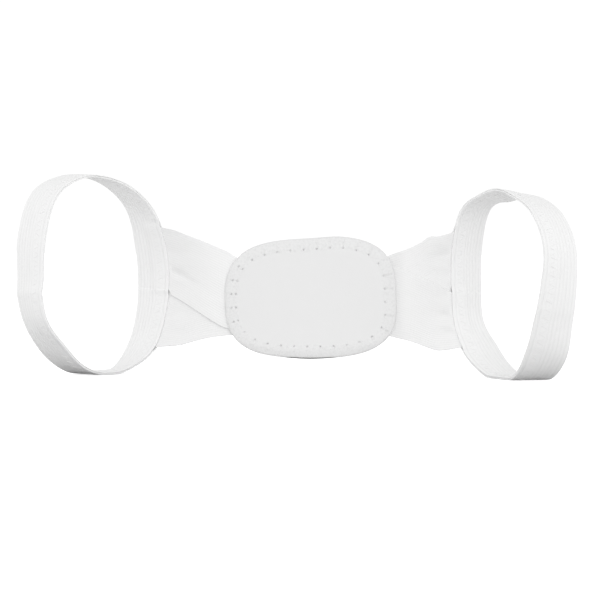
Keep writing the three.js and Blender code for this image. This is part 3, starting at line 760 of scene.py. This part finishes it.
def sewn_cloth(flat, settings):
    """How deep the needle and its threads draw the cloth in at points of the pad's plane, and
    how much painted shade lies there."""
    holes, ways = needle_holes(settings.needle_pitch / MM)
    width, depth = settings.needle_width / MM, settings.needle_depth / MM
    sunk, shade = np.zeros((2, *flat.shape[:2]))
    for index, (hole, way) in enumerate(zip(holes, ways)):
        away = flat - hole
        dimple = np.exp(-(away**2).sum(-1) / width**2)
        out = np.clip((away * way).sum(-1), 0, settings.stitch / MM)
        beside = np.exp(-((away - out[..., None] * way) ** 2).sum(-1) / width**2)
        furrow = FURROW * settings.thread / MM * beside
        sunk = np.maximum(sunk, np.maximum(depth * dimple, furrow))
        # Painted shade down in the holes, lighter in some than in others, and along the furrows of
        # some threads on the right
        furrow_shade = max(way[0], 0) ** 2 * (0.5 + 0.5 * math.sin(index * UNEVEN_STEP))
        hole_shade = 0.7 + 0.3 * math.sin(index * UNEVEN_STEP * 2)
        shade = np.maximum(shade, np.maximum(hole_shade * dimple, FURROW_SHADE * furrow_shade * beside))
    return sunk, shade


def pad_sheet(facing, settings):
    """The points of a pad sheet on its spokes and at the middle of its sides, and for all of
    them how much the needle has crazed the cloth and how much painted shade it has."""
    turn = np.linspace(0, 360, PAD_SPOKES, endpoint=False)
    edge = pad_edge(turn)
    shows = np.exp(-(((turn - BACK_SHOWS_TURN) / BACK_SHOWS_SPREAD) ** 2))
    if facing > 0:
        below = smooth(-np.sin(np.radians(turn)), 0, 0.9)
        drop = settings.back_drop / MM * (below + shows) / 2
        edge = edge * (1 + drop / np.linalg.norm(edge, axis=-1))[:, None]
    length = np.linalg.norm(edge, axis=-1)[:, None]
    shares, layer = pad_rings(length)
    flat = edge[:, None] * shares[..., None]
    sheet, puff = settings.sheet / MM, settings.puff / MM if facing < 0 else 0
    points = pad_layer(flat, layer, facing, sheet, puff)
    centre = pad_layer(np.zeros((2, 2)), np.array([1, 0]), facing, sheet, puff)
    sunk, shade = (value * (layer > 0.99) for value in sewn_cloth(flat, settings))
    points[..., 1] -= facing * sunk
    inset = (1 - shares) * length
    border = 1 - smooth(inset, NEEDLE_INSET, NEEDLE_INSET + CRAZED_FADE)
    border = border * smooth(inset, 0, CRAZED_START)
    # Painted shadow along the back sheet's lower edge, in the gap under the front sheet
    if facing > 0:
        edge_shadow = (1 - smooth(inset, *PAD_LOW_EDGE_SHADOW_WIDTH)) * smooth(shows, *PAD_LOW_EDGE_SHADOW_SHOWS)[:, None]
        shade = np.maximum(shade, PAD_LOW_EDGE_SHADOW * edge_shadow * (layer < 0.8))
    return points, centre, np.append(border.ravel(), (0, 0)), np.append(shade.ravel(), (0, 0))


# Meshes


def signed_volume(points, faces):
    """Positive where the faces of a closed shell point outwards."""
    a, b, c, d = (points[faces[:, n]] for n in range(4))
    first = np.einsum("ij,ij->i", a, np.cross(b, c)).sum()
    return first + np.einsum("ij,ij->i", a, np.cross(c, d)).sum()


def new_object(name, points, faces, edges=()):
    """A smooth-shaded object at the origin, its points given in millimetres round the pad."""
    mesh = bpy.data.meshes.new(name)
    placed = (np.asarray(points) + pad_place()) * MM
    mesh.from_pydata(placed.tolist(), list(edges), list(faces))
    mesh.shade_smooth()
    mesh.validate()
    piece = bpy.data.objects.new(name, mesh)
    bpy.context.collection.objects.link(piece)
    return piece


def add_attribute(piece, name, values):
    """Gives each point of a piece a number, or a vector where values has rows of three."""
    values = np.asarray(values, np.float32)
    kind, field = ("FLOAT_VECTOR", "vector") if values.shape[1:] == (3,) else ("FLOAT", "value")
    attribute = piece.data.attributes.new(name, kind, "POINT")
    attribute.data.foreach_set(field, values.ravel())


def swept_cloth(name, points, across, relief, closed, shade=0.0):
    """A piece from sections that follow each other, with its cloth map in metres: u across
    the cloth and v along it."""
    stations, size = points.shape[:2]
    spans = stations if closed else stations - 1
    i, k = (a.ravel() for a in np.meshgrid(np.arange(spans), np.arange(size), indexing="ij"))
    rows = np.stack([i, i, i + 1, i + 1], 1)
    columns = np.stack([k, k + 1, k + 1, k], 1)
    if not closed:
        pairs = size - 1 - EDGE_POINTS
        k = np.arange(-EDGE_POINTS // 2, size // 2 - EDGE_POINTS // 2)
        start = np.stack([k + 1, k, pairs - k, pairs - k - 1], 1)
        columns = np.concatenate([columns, start, start[:, ::-1]])
        ends = [np.full(start.shape, end) for end in (0, stations - 1)]
        rows = np.concatenate([rows, *ends])
    columns = columns % size
    flat = points.reshape(-1, 3)
    faces = (rows % stations) * size + columns
    if signed_volume(flat, faces) < 0:
        faces, rows, columns = faces[:, ::-1], rows[:, ::-1], columns[:, ::-1]
    piece = new_object(name, flat, faces.tolist())
    middle = points[:, : size // 2].mean(1)
    steps = np.linalg.norm(np.diff(middle, axis=0, append=middle[:1]), axis=-1)
    along = np.concatenate([[0], np.cumsum(steps)])
    uv = np.stack([across[columns], along[rows]], -1) * MM
    layer = piece.data.uv_layers.new(name="Cloth")
    layer.data.foreach_set("uv", uv.astype(np.float32).ravel())
    add_attribute(piece, "across", np.tile(across * MM, stations))
    add_attribute(piece, "ribs", np.tile(relief, stations))
    add_attribute(piece, "shade", np.broadcast_to(shade, (stations, size)))
    return piece


def polar_sheet(name, points, centre):
    """A closed sheet from spokes of points, with a point at the middle of each side."""
    spokes, size = points.shape[:2]
    j, k = (a.ravel() for a in np.meshgrid(np.arange(spokes), np.arange(size - 1), indexing="ij"))
    after = (j + 1) % spokes
    faces = np.stack([j * size + k, j * size + k + 1, after * size + k + 1, after * size + k], 1)
    flat = points.reshape(-1, 3)
    spoke = np.arange(spokes)
    after = (spoke + 1) % spokes
    outer, inner = np.full(spokes, len(flat)), np.full(spokes, len(flat) + 1)
    fans = [
        np.stack([outer, spoke * size, after * size], 1),
        np.stack([inner, after * size + size - 1, spoke * size + size - 1], 1),
    ]
    if signed_volume(flat, faces) < 0:
        faces, fans = faces[:, ::-1], [fan[:, ::-1] for fan in fans]
    everything = faces.tolist() + fans[0].tolist() + fans[1].tolist()
    return new_object(name, np.concatenate([flat, centre]), everything)


# Geometry Nodes, and the kinds of node that come often

MATH = "ShaderNodeMath"
VECTOR_MATH = "ShaderNodeVectorMath"
NOISE = "ShaderNodeTexNoise"
PAINTED = "ShaderNodeAttribute"
STORED = "GeometryNodeInputNamedAttribute"
ALIGN = "FunctionNodeAlignRotationToVector"


def add_node(tree, kind, inputs=(), out=0, **settings):
    """Adds a node with its settings, fills its inputs with values or other outputs, in their
    order or by name, and gives one of its outputs."""
    node = tree.nodes.new(kind)
    for name, value in settings.items():
        setattr(node, name, value)
    for key, value in inputs.items() if isinstance(inputs, dict) else enumerate(inputs):
        if isinstance(value, bpy.types.NodeSocket):
            tree.links.new(value, node.inputs[key])
        else:
            node.inputs[key].default_value = value
    return node.outputs[out]


def new_geometry_tree(name, sizes):
    """A Geometry Nodes tree with a geometry, the named sizes and a material as inputs."""
    tree = bpy.data.node_groups.new(name, "GeometryNodeTree")
    tree.interface.new_socket("Geometry", in_out="INPUT", socket_type="NodeSocketGeometry")
    for size, kind in sizes.items():
        tree.interface.new_socket(size, in_out="INPUT", socket_type=f"NodeSocket{kind}")
    tree.interface.new_socket("Material", in_out="INPUT", socket_type="NodeSocketMaterial")
    tree.interface.new_socket("Geometry", in_out="OUTPUT", socket_type="NodeSocketGeometry")
    return tree, tree.nodes.new("NodeGroupInput").outputs, partial(add_node, tree)


def close_geometry_tree(tree, geometry, material):
    """Ends a tree with real geometry that carries its material."""
    real = add_node(tree, "GeometryNodeRealizeInstances", (geometry,))
    smoothed = add_node(tree, "GeometryNodeSetShadeSmooth", (real,))
    finish = {"Geometry": smoothed, "Material": material}
    made = add_node(tree, "GeometryNodeSetMaterial", finish)
    tree.links.new(made, tree.nodes.new("NodeGroupOutput").inputs[0])
    return tree


def rib_tree():
    """Cuts rounded ribs into cloth along its length, and makes it slightly uneven."""
    sizes = {"Rib Pitch": "Float", "Rib Height": "Float", "Unevenness": "Float"}
    tree, given, add = new_geometry_tree("Woven Ribs", sizes)
    across, ribs = (add(STORED, {"Name": name}, "Attribute") for name in ("across", "ribs"))
    half_turns = add(MATH, (across, given["Rib Pitch"]), operation="DIVIDE")
    angle = add(MATH, (half_turns, math.pi), operation="MULTIPLY")
    wave = add(MATH, (add(MATH, (angle,), operation="SINE"),), operation="ABSOLUTE")
    groove = add(MATH, (wave, 1.0), operation="SUBTRACT")
    depth = add(MATH, (groove, given["Rib Height"]), operation="MULTIPLY")
    depth = add(MATH, (depth, ribs), operation="MULTIPLY")
    # Worn flatter in patches of about 30 mm
    worn = add(NOISE, {"Scale": 33.0, "Detail": 2.0})
    worn = add(MATH, (worn, 2.0), operation="MULTIPLY")
    depth = add(MATH, (depth, worn), operation="MULTIPLY")
    # Waves about 25 mm long, as washed elastic has
    waves = add(NOISE, {"Scale": 40.0, "Detail": 1.0})
    waves = add(MATH, (waves, 0.5), operation="SUBTRACT")
    wander = add(MATH, (waves, given["Unevenness"]), operation="MULTIPLY")
    shift = add(MATH, (depth, wander), operation="ADD")
    offset = {0: add("GeometryNodeInputNormal"), "Scale": shift}
    offset = add(VECTOR_MATH, offset, operation="SCALE")
    cloth = add("GeometryNodeSetPosition", {"Geometry": given["Geometry"], "Offset": offset})
    return close_geometry_tree(tree, cloth, given["Material"])


def zigzag_tree():
    """Sews a zigzag of thread along closed paths. Every other point is a needle hole, where
    the thread goes down into the cloth."""
    sizes = {"Zigzags": "Int", "Zigzag Width": "Float", "Thread": "Float"}
    tree, given, add = new_geometry_tree("Zigzag Stitch", sizes)
    path = add("GeometryNodeMeshToCurve", (given["Geometry"],))
    count = add(MATH, (given["Zigzags"], 8), operation="MULTIPLY")
    spaced = add("GeometryNodeResampleCurve", {"Curve": path, "Count": count})
    angle = add(MATH, (add("GeometryNodeInputIndex"), math.pi / 4), operation="MULTIPLY")
    swing = add(MATH, (angle,), operation="COSINE")
    half_width = add(MATH, (given["Zigzag Width"], 0.5), operation="MULTIPLY")
    sideways = add(MATH, (swing, half_width), operation="MULTIPLY")
    # The thread lies just clear of the cloth and dips steeply at each end of its swing
    in_hole = add(MATH, (add(MATH, (swing,), operation="ABSOLUTE"), 8.0), operation="POWER")
    dip = add(MATH, (in_hole, 2.4), operation="MULTIPLY")
    lift = add(MATH, (0.2, dip), operation="SUBTRACT")
    outwards = add(MATH, (lift, given["Thread"]), operation="MULTIPLY")
    ways = []
    for name, reach in (("side", sideways), ("out", outwards)):
        way = add(STORED, {"Name": name}, "Attribute", data_type="FLOAT_VECTOR")
        ways.append(add(VECTOR_MATH, {0: way, "Scale": reach}, operation="SCALE"))
    offset = add(VECTOR_MATH, ways, operation="ADD")
    moved = add("GeometryNodeSetPosition", {"Geometry": spaced, "Offset": offset})
    section = {"Resolution": 6, "Radius": given["Thread"]}
    section = add("GeometryNodeCurvePrimitiveCircle", section)
    tube = add("GeometryNodeCurveToMesh", {"Curve": moved, "Profile Curve": section})
    return close_geometry_tree(tree, tube, given["Material"])


def pad_stitch_tree():
    """Lays a short arc of thread outward from every needle hole."""
    tree, given, add = new_geometry_tree("Pad Stitch", {"Stitch": "Float", "Thread": "Float"})
    stitch, thread = given["Stitch"], given["Thread"]
    # The thread comes up out of its hole, lies on the cloth and sinks again at its far end
    hidden, sunk = (add(MATH, (thread, depth), operation="MULTIPLY") for depth in (-3.0, -1.5))
    crest = add(MATH, (stitch, 0.35), operation="MULTIPLY")
    arc = {"Resolution": 8}
    for end, y, z in (("Start", 0.0, hidden), ("Middle", crest, thread), ("End", stitch, sunk)):
        arc[end] = add("ShaderNodeCombineXYZ", {"Y": y, "Z": z})
    arc = add("GeometryNodeCurveQuadraticBezier", arc)
    section = add("GeometryNodeCurvePrimitiveCircle", {"Resolution": 6, "Radius": thread})
    tube = {"Curve": arc, "Profile Curve": section, "Fill Caps": True}
    tube = add("GeometryNodeCurveToMesh", tube)
    side, out = (
        add(STORED, {"Name": name}, "Attribute", data_type="FLOAT_VECTOR")
        for name in ("side", "out")
    )
    turned = add(ALIGN, {"Vector": side}, axis="Y")
    turned = add(ALIGN, {"Rotation": turned, "Vector": out}, axis="Z", pivot_axis="Y")
    placed = {"Points": given["Geometry"], "Instance": tube, "Rotation": turned}
    placed = add("GeometryNodeInstanceOnPoints", placed)
    return close_geometry_tree(tree, placed, given["Material"])


def settle(piece, tree, values):
    """Runs a tree on a piece and keeps its result as the piece's plain mesh."""
    modifier = piece.modifiers.new(tree.name, "NODES")
    modifier.node_group = tree
    for item in tree.interface.items_tree:
        if item.item_type == "SOCKET" and item.in_out == "INPUT" and item.name in values:
            modifier[item.identifier] = values[item.name]
    depsgraph = bpy.context.evaluated_depsgraph_get()
    mesh = bpy.data.meshes.new_from_object(
        piece.evaluated_get(depsgraph), preserve_all_data_layers=True, depsgraph=depsgraph
    )
    piece.modifiers.clear()
    piece.data = mesh
    if not mesh.polygons:
        raise RuntimeError(f"{piece.name}: its Geometry Nodes tree made nothing")


# Materials

BLACK = (0, 0, 0)


def new_material(name, colour, roughness, settings):
    """A material with a Principled shader, its constants on the shader's own sockets."""
    material = bpy.data.materials.new(name)
    material.use_nodes = True
    inputs = material.node_tree.nodes["Principled BSDF"].inputs
    constants = {"Base Color": (*colour, 1), "Roughness": roughness}
    for socket, value in {**constants, **settings}.items():
        inputs[socket].default_value = value
    return material, material.node_tree, partial(add_node, material.node_tree)


def finish_surface(tree, colour, shade, height, relief):
    """Raises a material's surface by up to relief metres where height nears 1, and mixes its
    colour with the dark one where shade does."""
    inputs = tree.nodes["Principled BSDF"].inputs
    light, dark = ((*values, 1) for values in colour)
    mixed = add_node(tree, "ShaderNodeMix", {0: shade, 6: light, 7: dark}, 2, data_type="RGBA")
    raised = {"Strength": 1.0, "Distance": relief, "Height": height}
    tree.links.new(mixed, inputs["Base Color"])
    tree.links.new(add_node(tree, "ShaderNodeBump", raised), inputs["Normal"])


def woven_elastic(name, colour, rib_pitch, groove_shade):
    """White woven elastic of covered rubber and polyester: matt, soft at its edges, with
    fine picks across its ribs and a little shade down in the grooves between them."""
    # Its fuzz scatters light at a grazing angle, which a little sheen gives
    settings = {"Specular IOR Level": 0.25, "Sheen Weight": 0.1, "Sheen Roughness": 0.6}
    material, tree, add = new_material(name, colour, 0.9, settings)
    cloth = add("ShaderNodeUVMap", uv_map="Cloth")
    across, along = add("ShaderNodeSeparateXYZ", (cloth,), slice(0, 2))
    # Picks are 0.6 mm apart on the cloth and drawn 1.3 mm apart, so that they show
    picks = add(MATH, (along, 2 * math.pi / (1.3 * MM)), operation="MULTIPLY")
    picks = add(MATH, (picks,), operation="SINE")
    # Yarns of about 0.8 mm, stretched along the cloth
    yarn = add("ShaderNodeMapping", {0: cloth, "Scale": (1.0, 0.35, 1.0)})
    yarn = add(NOISE, {"Vector": yarn, "Scale": 1 / (0.8 * MM)})
    height = add(MATH, (picks, 0.25, yarn), operation="MULTIPLY_ADD")
    wave = add(MATH, (across, math.pi / rib_pitch), operation="MULTIPLY")
    wave = add(MATH, (add(MATH, (wave,), operation="SINE"),), operation="ABSOLUTE")
    groove = add(MATH, (1.0, wave), operation="SUBTRACT")
    ribs = add(PAINTED, out="Fac", attribute_name="ribs")
    shade = add(MATH, (groove, ribs), operation="MULTIPLY")
    # Grooves are shaded unevenly, in stretches of about 12 mm along the cloth
    patches = add("ShaderNodeMapping", {0: cloth, "Scale": (4.0, 1.0, 1.0)})
    patches = add(NOISE, {"Vector": patches, "Scale": 1 / (12 * MM)})
    uneven = add(MATH, (patches, 1.6), operation="MULTIPLY")
    shade = add(MATH, (shade, uneven), operation="MULTIPLY")
    # Painted shade from the shade attribute: the pad's shadow, the dents' shade and the shadow
    # under the front band's edge
    pressed = add(PAINTED, out="Fac", attribute_name="shade")
    shade = add(MATH, (shade, groove_shade, pressed), operation="MULTIPLY_ADD")
    finish_surface(tree, (colour, BLACK), shade, height, 0.06 * MM)
    return material


def coated_cloth(colour):
    """Polyurethane-coated cloth, pressed smooth: a soft even sheen over a very fine grain,
    crazed by the needle along its border."""
    settings = {"Specular IOR Level": 0.3}
    material, tree, add = new_material("coated_cloth_pressed", colour, 0.6, settings)
    place = add("ShaderNodeTexCoord", out="Object")
    border = add(PAINTED, out="Fac", attribute_name="border")
    # Needle wrinkles of about 1.8 mm over a grain of 0.4 mm that is drawn at 0.9 mm, to show,
    # and clouds of 14 mm for the coating's uneven white
    wrinkles, grain, clouds = (
        add(NOISE, {"Vector": place, "Scale": 1 / (size * MM)}) for size in (1.8, 0.9, 14)
    )
    height = add(MATH, (wrinkles, border), operation="MULTIPLY")
    height = add(MATH, (grain, 0.12, height), operation="MULTIPLY_ADD")
    # The wrinkles mottle the border by 22 percent and the clouds the whole by 1.5
    mottled = add(MATH, (wrinkles, 0.5), operation="SUBTRACT")
    mottled = add(MATH, (mottled, border), operation="MULTIPLY")
    clouds = add(MATH, (clouds, 0.015), operation="MULTIPLY")
    mottled = add(MATH, (mottled, 0.22, clouds), operation="MULTIPLY_ADD")
    # Painted shade down in the needle holes, along some threads' furrows and along the back sheet's
    # lower edge under the front sheet
    shade = add(PAINTED, out="Fac", attribute_name="shade")
    shade = add(MATH, (shade, 0.4, mottled), operation="MULTIPLY_ADD")
    finish_surface(tree, (colour, BLACK), shade, height, 0.4 * MM)
    return material


def polyester_thread(colour):
    """Spun polyester sewing thread: matt white with a faint twist."""
    settings = {"Specular IOR Level": 0.3, "Sheen Weight": 0.1}
    material, tree, add = new_material("polyester_thread_spun", colour, 0.8, settings)
    place = add("ShaderNodeTexCoord", out="Object")
    # A twist of 0.3 mm, and clouds of 6 mm that darken the white by up to 4 percent
    twist, clouds = (
        add(NOISE, {"Vector": place, "Scale": 1 / (size * MM)}) for size in (0.3, 6)
    )
    dull = [value * 0.96 for value in colour]
    finish_surface(tree, (colour, dull), clouds, twist, 0.03 * MM)
    return material


# Operators


def finish_piece(piece, replaced=None):
    """Hangs a piece on the root body, and hides the CAD node that it stands for."""
    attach(piece, "root")
    if replaced:
        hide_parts(replaced)
    return piece


def weave_ribs(piece, settings, pitch, material):
    """Gives a piece of elastic its ribs, its slight unevenness and its material."""
    values = {"Rib Pitch": pitch, "Rib Height": settings.rib_height}
    values.update({"Unevenness": settings.unevenness, "Material": material})
    settle(piece, rib_tree(), values)


class CORRECTOR_OT_pad(bpy.types.Operator):
    """Makes the two sheets of the back pad, with a dimple at every needle hole"""

    bl_idname = "corrector.pad"
    bl_label = "Back Pad"

    def execute(self, context):
        settings = context.scene.corrector.pad
        material = coated_cloth(settings.colour)
        for name, facing in (("front", -1), ("back", 1)):
            points, centre, border, shade = pad_sheet(facing, settings)
            piece = polar_sheet(f"pad_sheet_{name}", points, centre)
            add_attribute(piece, "border", border)
            add_attribute(piece, "shade", shade)
            piece.data.materials.append(material)
            finish_piece(piece, f"pad_{name}")
        return {"FINISHED"}


class CORRECTOR_OT_pad_stitches(bpy.types.Operator):
    """Lays the threads that run outward from the pad's needle holes"""

    bl_idname = "corrector.pad_stitches"
    bl_label = "Pad Stitches"

    def execute(self, context):
        settings = context.scene.corrector.pad
        holes, ways = needle_holes(settings.needle_pitch / MM)
        sheet, puff = settings.sheet / MM, settings.puff / MM
        points = pad_layer(holes, np.ones(len(holes)), -1, sheet, puff)
        points[:, 1] += settings.thread / MM
        x, z = pad_in_frame(ways)
        piece = new_object("pad_stitches", points, [])
        add_attribute(piece, "side", np.stack([x, x * 0, z], -1))
        add_attribute(piece, "out", [(0, -1, 0)] * len(x))
        material = polyester_thread(context.scene.corrector.loops.thread_colour)
        values = {"Stitch": settings.stitch, "Thread": settings.thread, "Material": material}
        settle(piece, pad_stitch_tree(), values)
        finish_piece(piece)
        return {"FINISHED"}


class CORRECTOR_OT_bands(bpy.types.Operator):
    """Makes the two ribbed elastic bands that cross behind the pad"""

    bl_idname = "corrector.bands"
    bl_label = "Crossed Bands"

    def execute(self, context):
        settings = context.scene.corrector.bands
        ribs = round(BAND_WIDTH * MM / settings.rib_pitch)
        pitch = BAND_WIDTH * MM / ribs
        columns = ribs * POINTS_PER_RIB + 1
        colour = settings.colour
        material = woven_elastic("woven_elastic_flat", colour, pitch, groove_shade=0.05)
        for name, offset in (("front", BAND_SPACING / 2), ("back", -BAND_SPACING / 2)):
            grid = band_grid(BANDS[name], name == "front", columns)
            points = band_cloth(grid, offset)
            across, relief = band_section(columns)
            shade = band_shade(name, grid, len(across))
            piece = swept_cloth(f"elastic_band_{name}", points, across, relief, False, shade)
            weave_ribs(piece, settings, pitch, material)
            finish_piece(piece, f"cross_band_{name}")
        return {"FINISHED"}


class CORRECTOR_OT_loops(bpy.types.Operator):
    """Makes the two arm loops of ribbed webbing folded along its length"""

    bl_idname = "corrector.loops"
    bl_label = "Arm Loops"

    def execute(self, context):
        settings = context.scene.corrector.loops
        pitch, colour = settings.rib_pitch, settings.colour
        material = woven_elastic("woven_webbing_folded", colour, pitch, groove_shade=0.07)
        for loop in LOOPS:
            points, across, relief = loop_cloth(loop, settings)
            name = f"loop_webbing_{loop['name']}"
            piece = swept_cloth(name, points, across, relief, True)
            weave_ribs(piece, settings, pitch, material)
            finish_piece(piece, f"arm_loop_{loop['name']}")
        return {"FINISHED"}


class CORRECTOR_OT_loop_stitches(bpy.types.Operator):
    """Sews the zigzag that holds each loop's two plies together, on both of its faces"""

    bl_idname = "corrector.loop_stitches"
    bl_label = "Loop Stitches"

    def execute(self, context):
        settings = context.scene.corrector.loops
        values = {
            "Zigzags": settings.zigzags,
            "Zigzag Width": settings.zigzag_width,
            "Thread": settings.thread,
            "Material": polyester_thread(settings.thread_colour),
        }
        tree = zigzag_tree()
        for loop in LOOPS:
            outside, inside = zigzag_path(loop, 1), zigzag_path(loop, -1)
            points, side, out = (np.concatenate(pair) for pair in zip(outside, inside))
            count = len(outside[0])
            edges = [
                (start + i, start + (i + 1) % count) for start in (0, count) for i in range(count)
            ]
            piece = new_object(f"loop_zigzag_{loop['name']}", points, [], edges)
            add_attribute(piece, "side", side)
            add_attribute(piece, "out", out)
            settle(piece, tree, values)
            finish_piece(piece)
        return {"FINISHED"}


class CORRECTOR_OT_stage(bpy.types.Operator):
    """Adds the pale floor, the soft light and the camera"""

    bl_idname = "corrector.stage"
    bl_label = "Stage"

    def execute(self, context):
        settings = context.scene.corrector.stage
        self.add_floor(settings)
        self.add_light(context.scene, settings)
        self.add_camera(context.scene)
        context.scene.view_settings.view_transform = "Standard"
        return {"FINISHED"}

    def add_floor(self, settings):
        half = settings.floor_size / 2 / MM
        corners = [(-half, -half, 0), (half, -half, 0), (half, half, 0), (-half, half, 0)]
        floor = new_object("floor", corners, [(0, 1, 2, 3)])
        # White paper, lit through from below as on a light table
        lit = {"Emission Strength": settings.glow, "Emission Color": (1, 1, 1, 1)}
        lit["Specular IOR Level"] = 0.0
        paper, _, _ = new_material("white_paper_matt", settings.floor_colour, 1.0, lit)
        floor.data.materials.append(paper)
        # The sky's lower half lights the object from below in the floor's place
        floor.visible_diffuse = False
        # Close to the loops a grey sheet under the floor, unseen by the camera, stands in for their
        # shadow and darkens that light: painted shade
        corners = []
        for node in ("arm_loop_left", "arm_loop_right"):
            low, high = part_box(node)
            x0, y0 = (value / MM - SHADE_REACH for value in low[:2])
            x1, y1 = (value / MM + SHADE_REACH for value in high[:2])
            corners += [(x, y, -SHADE_DROP) for x, y in ((x0, y0), (x1, y0), (x1, y1), (x0, y1))]
        faces = [(0, 1, 2, 3), (4, 5, 6, 7)]
        shaded = new_object("floor_in_shade", np.array(corners) - pad_place(), faces)
        dull = {"Specular IOR Level": 0.0}
        paper, _, _ = new_material("painted_floor_shadow", settings.shade_colour, 1.0, dull)
        shaded.data.materials.append(paper)
        shaded.visible_camera = shaded.visible_shadow = False

    def add_light(self, scene, settings):
        world = bpy.data.worlds.new("soft_studio")
        world.use_nodes = True
        tree = world.node_tree
        add = partial(add_node, tree)
        way = add("ShaderNodeTexCoord", out="Generated")
        height = add("ShaderNodeSeparateXYZ", (way,), "Z")
        # Its brightness rises from the ground to the horizon and falls again to the zenith
        rise = (height, *GROUND_FADE, settings.ground, settings.horizon)
        fall = (height, *SKY_FADE, 0.0, settings.horizon - settings.zenith)
        changes = [add("ShaderNodeMapRange", change) for change in (rise, fall)]
        strength = add(MATH, changes, operation="SUBTRACT")
        background = tree.nodes["Background"].inputs
        tree.links.new(strength, background["Strength"])
        background["Color"].default_value = (1, 1, 1, 1)
        scene.world = world
        light = bpy.data.lights.new("front_softbox", "SUN")
        light.energy = settings.key
        light.angle = math.radians(SOFTBOX_ANGLE)
        lamp = bpy.data.objects.new("front_softbox", light)
        lamp.rotation_euler = Vector(SOFTBOX_SHINING).to_track_quat("-Z", "Y").to_euler()
        bpy.context.collection.objects.link(lamp)

    def add_camera(self, scene):
        drop, roll = math.radians(CAMERA_DROP), math.radians(CAMERA_ROLL)
        look = Vector((0, math.cos(drop), -math.sin(drop)))
        level, upright = Vector((1, 0, 0)), Vector((0, math.sin(drop), math.cos(drop)))
        right = level * math.cos(roll) + upright * math.sin(roll)
        up = upright * math.cos(roll) - level * math.sin(roll)
        pad = Vector(pad_place())
        aim = Vector((pad.x + CAMERA_ASIDE, pad.y, CAMERA_AIM_HEIGHT))
        camera = bpy.data.objects.new("camera", bpy.data.cameras.new("camera"))
        turned = Matrix((right, up, -look)).transposed()
        camera.matrix_world = Matrix.LocRotScale(
            (aim - look * CAMERA_DISTANCE) * MM, turned.to_quaternion(), None
        )
        camera.data.sensor_width = SENSOR
        camera.data.lens = FOCAL_PIXELS / PHOTO_SIDE * SENSOR
        camera.data.clip_end = 200
        bpy.context.collection.objects.link(camera)
        scene.camera = camera


OPERATORS = (
    CORRECTOR_OT_stage,
    CORRECTOR_OT_loops,
    CORRECTOR_OT_loop_stitches,
    CORRECTOR_OT_bands,
    CORRECTOR_OT_pad,
    CORRECTOR_OT_pad_stitches,
)


class CORRECTOR_PT_panel(bpy.types.Panel):
    """Lists the pieces of the posture corrector"""

    bl_idname = "CORRECTOR_PT_panel"
    bl_label = "Posture Corrector"
    bl_space_type = "VIEW_3D"
    bl_region_type = "UI"
    bl_category = "Corrector"

    def draw(self, context):
        for operator in OPERATORS:
            self.layout.operator(operator.bl_idname)


CLASSES = (
    PadSettings,
    BandSettings,
    LoopSettings,
    StageSettings,
    CorrectorSettings,
    *OPERATORS,
    CORRECTOR_PT_panel,
)


def register():
    for cls in CLASSES:
        bpy.utils.register_class(cls)
    bpy.types.Scene.corrector = PointerProperty(type=CorrectorSettings)


def unregister():
    del bpy.types.Scene.corrector
    for cls in reversed(CLASSES):
        bpy.utils.unregister_class(cls)


def main():
    register()
    bpy.ops.corrector.stage()
    bpy.ops.corrector.loops()
    bpy.ops.corrector.loop_stitches()
    bpy.ops.corrector.bands()
    bpy.ops.corrector.pad()
    bpy.ops.corrector.pad_stitches()


if __name__ == "__main__":
    main()
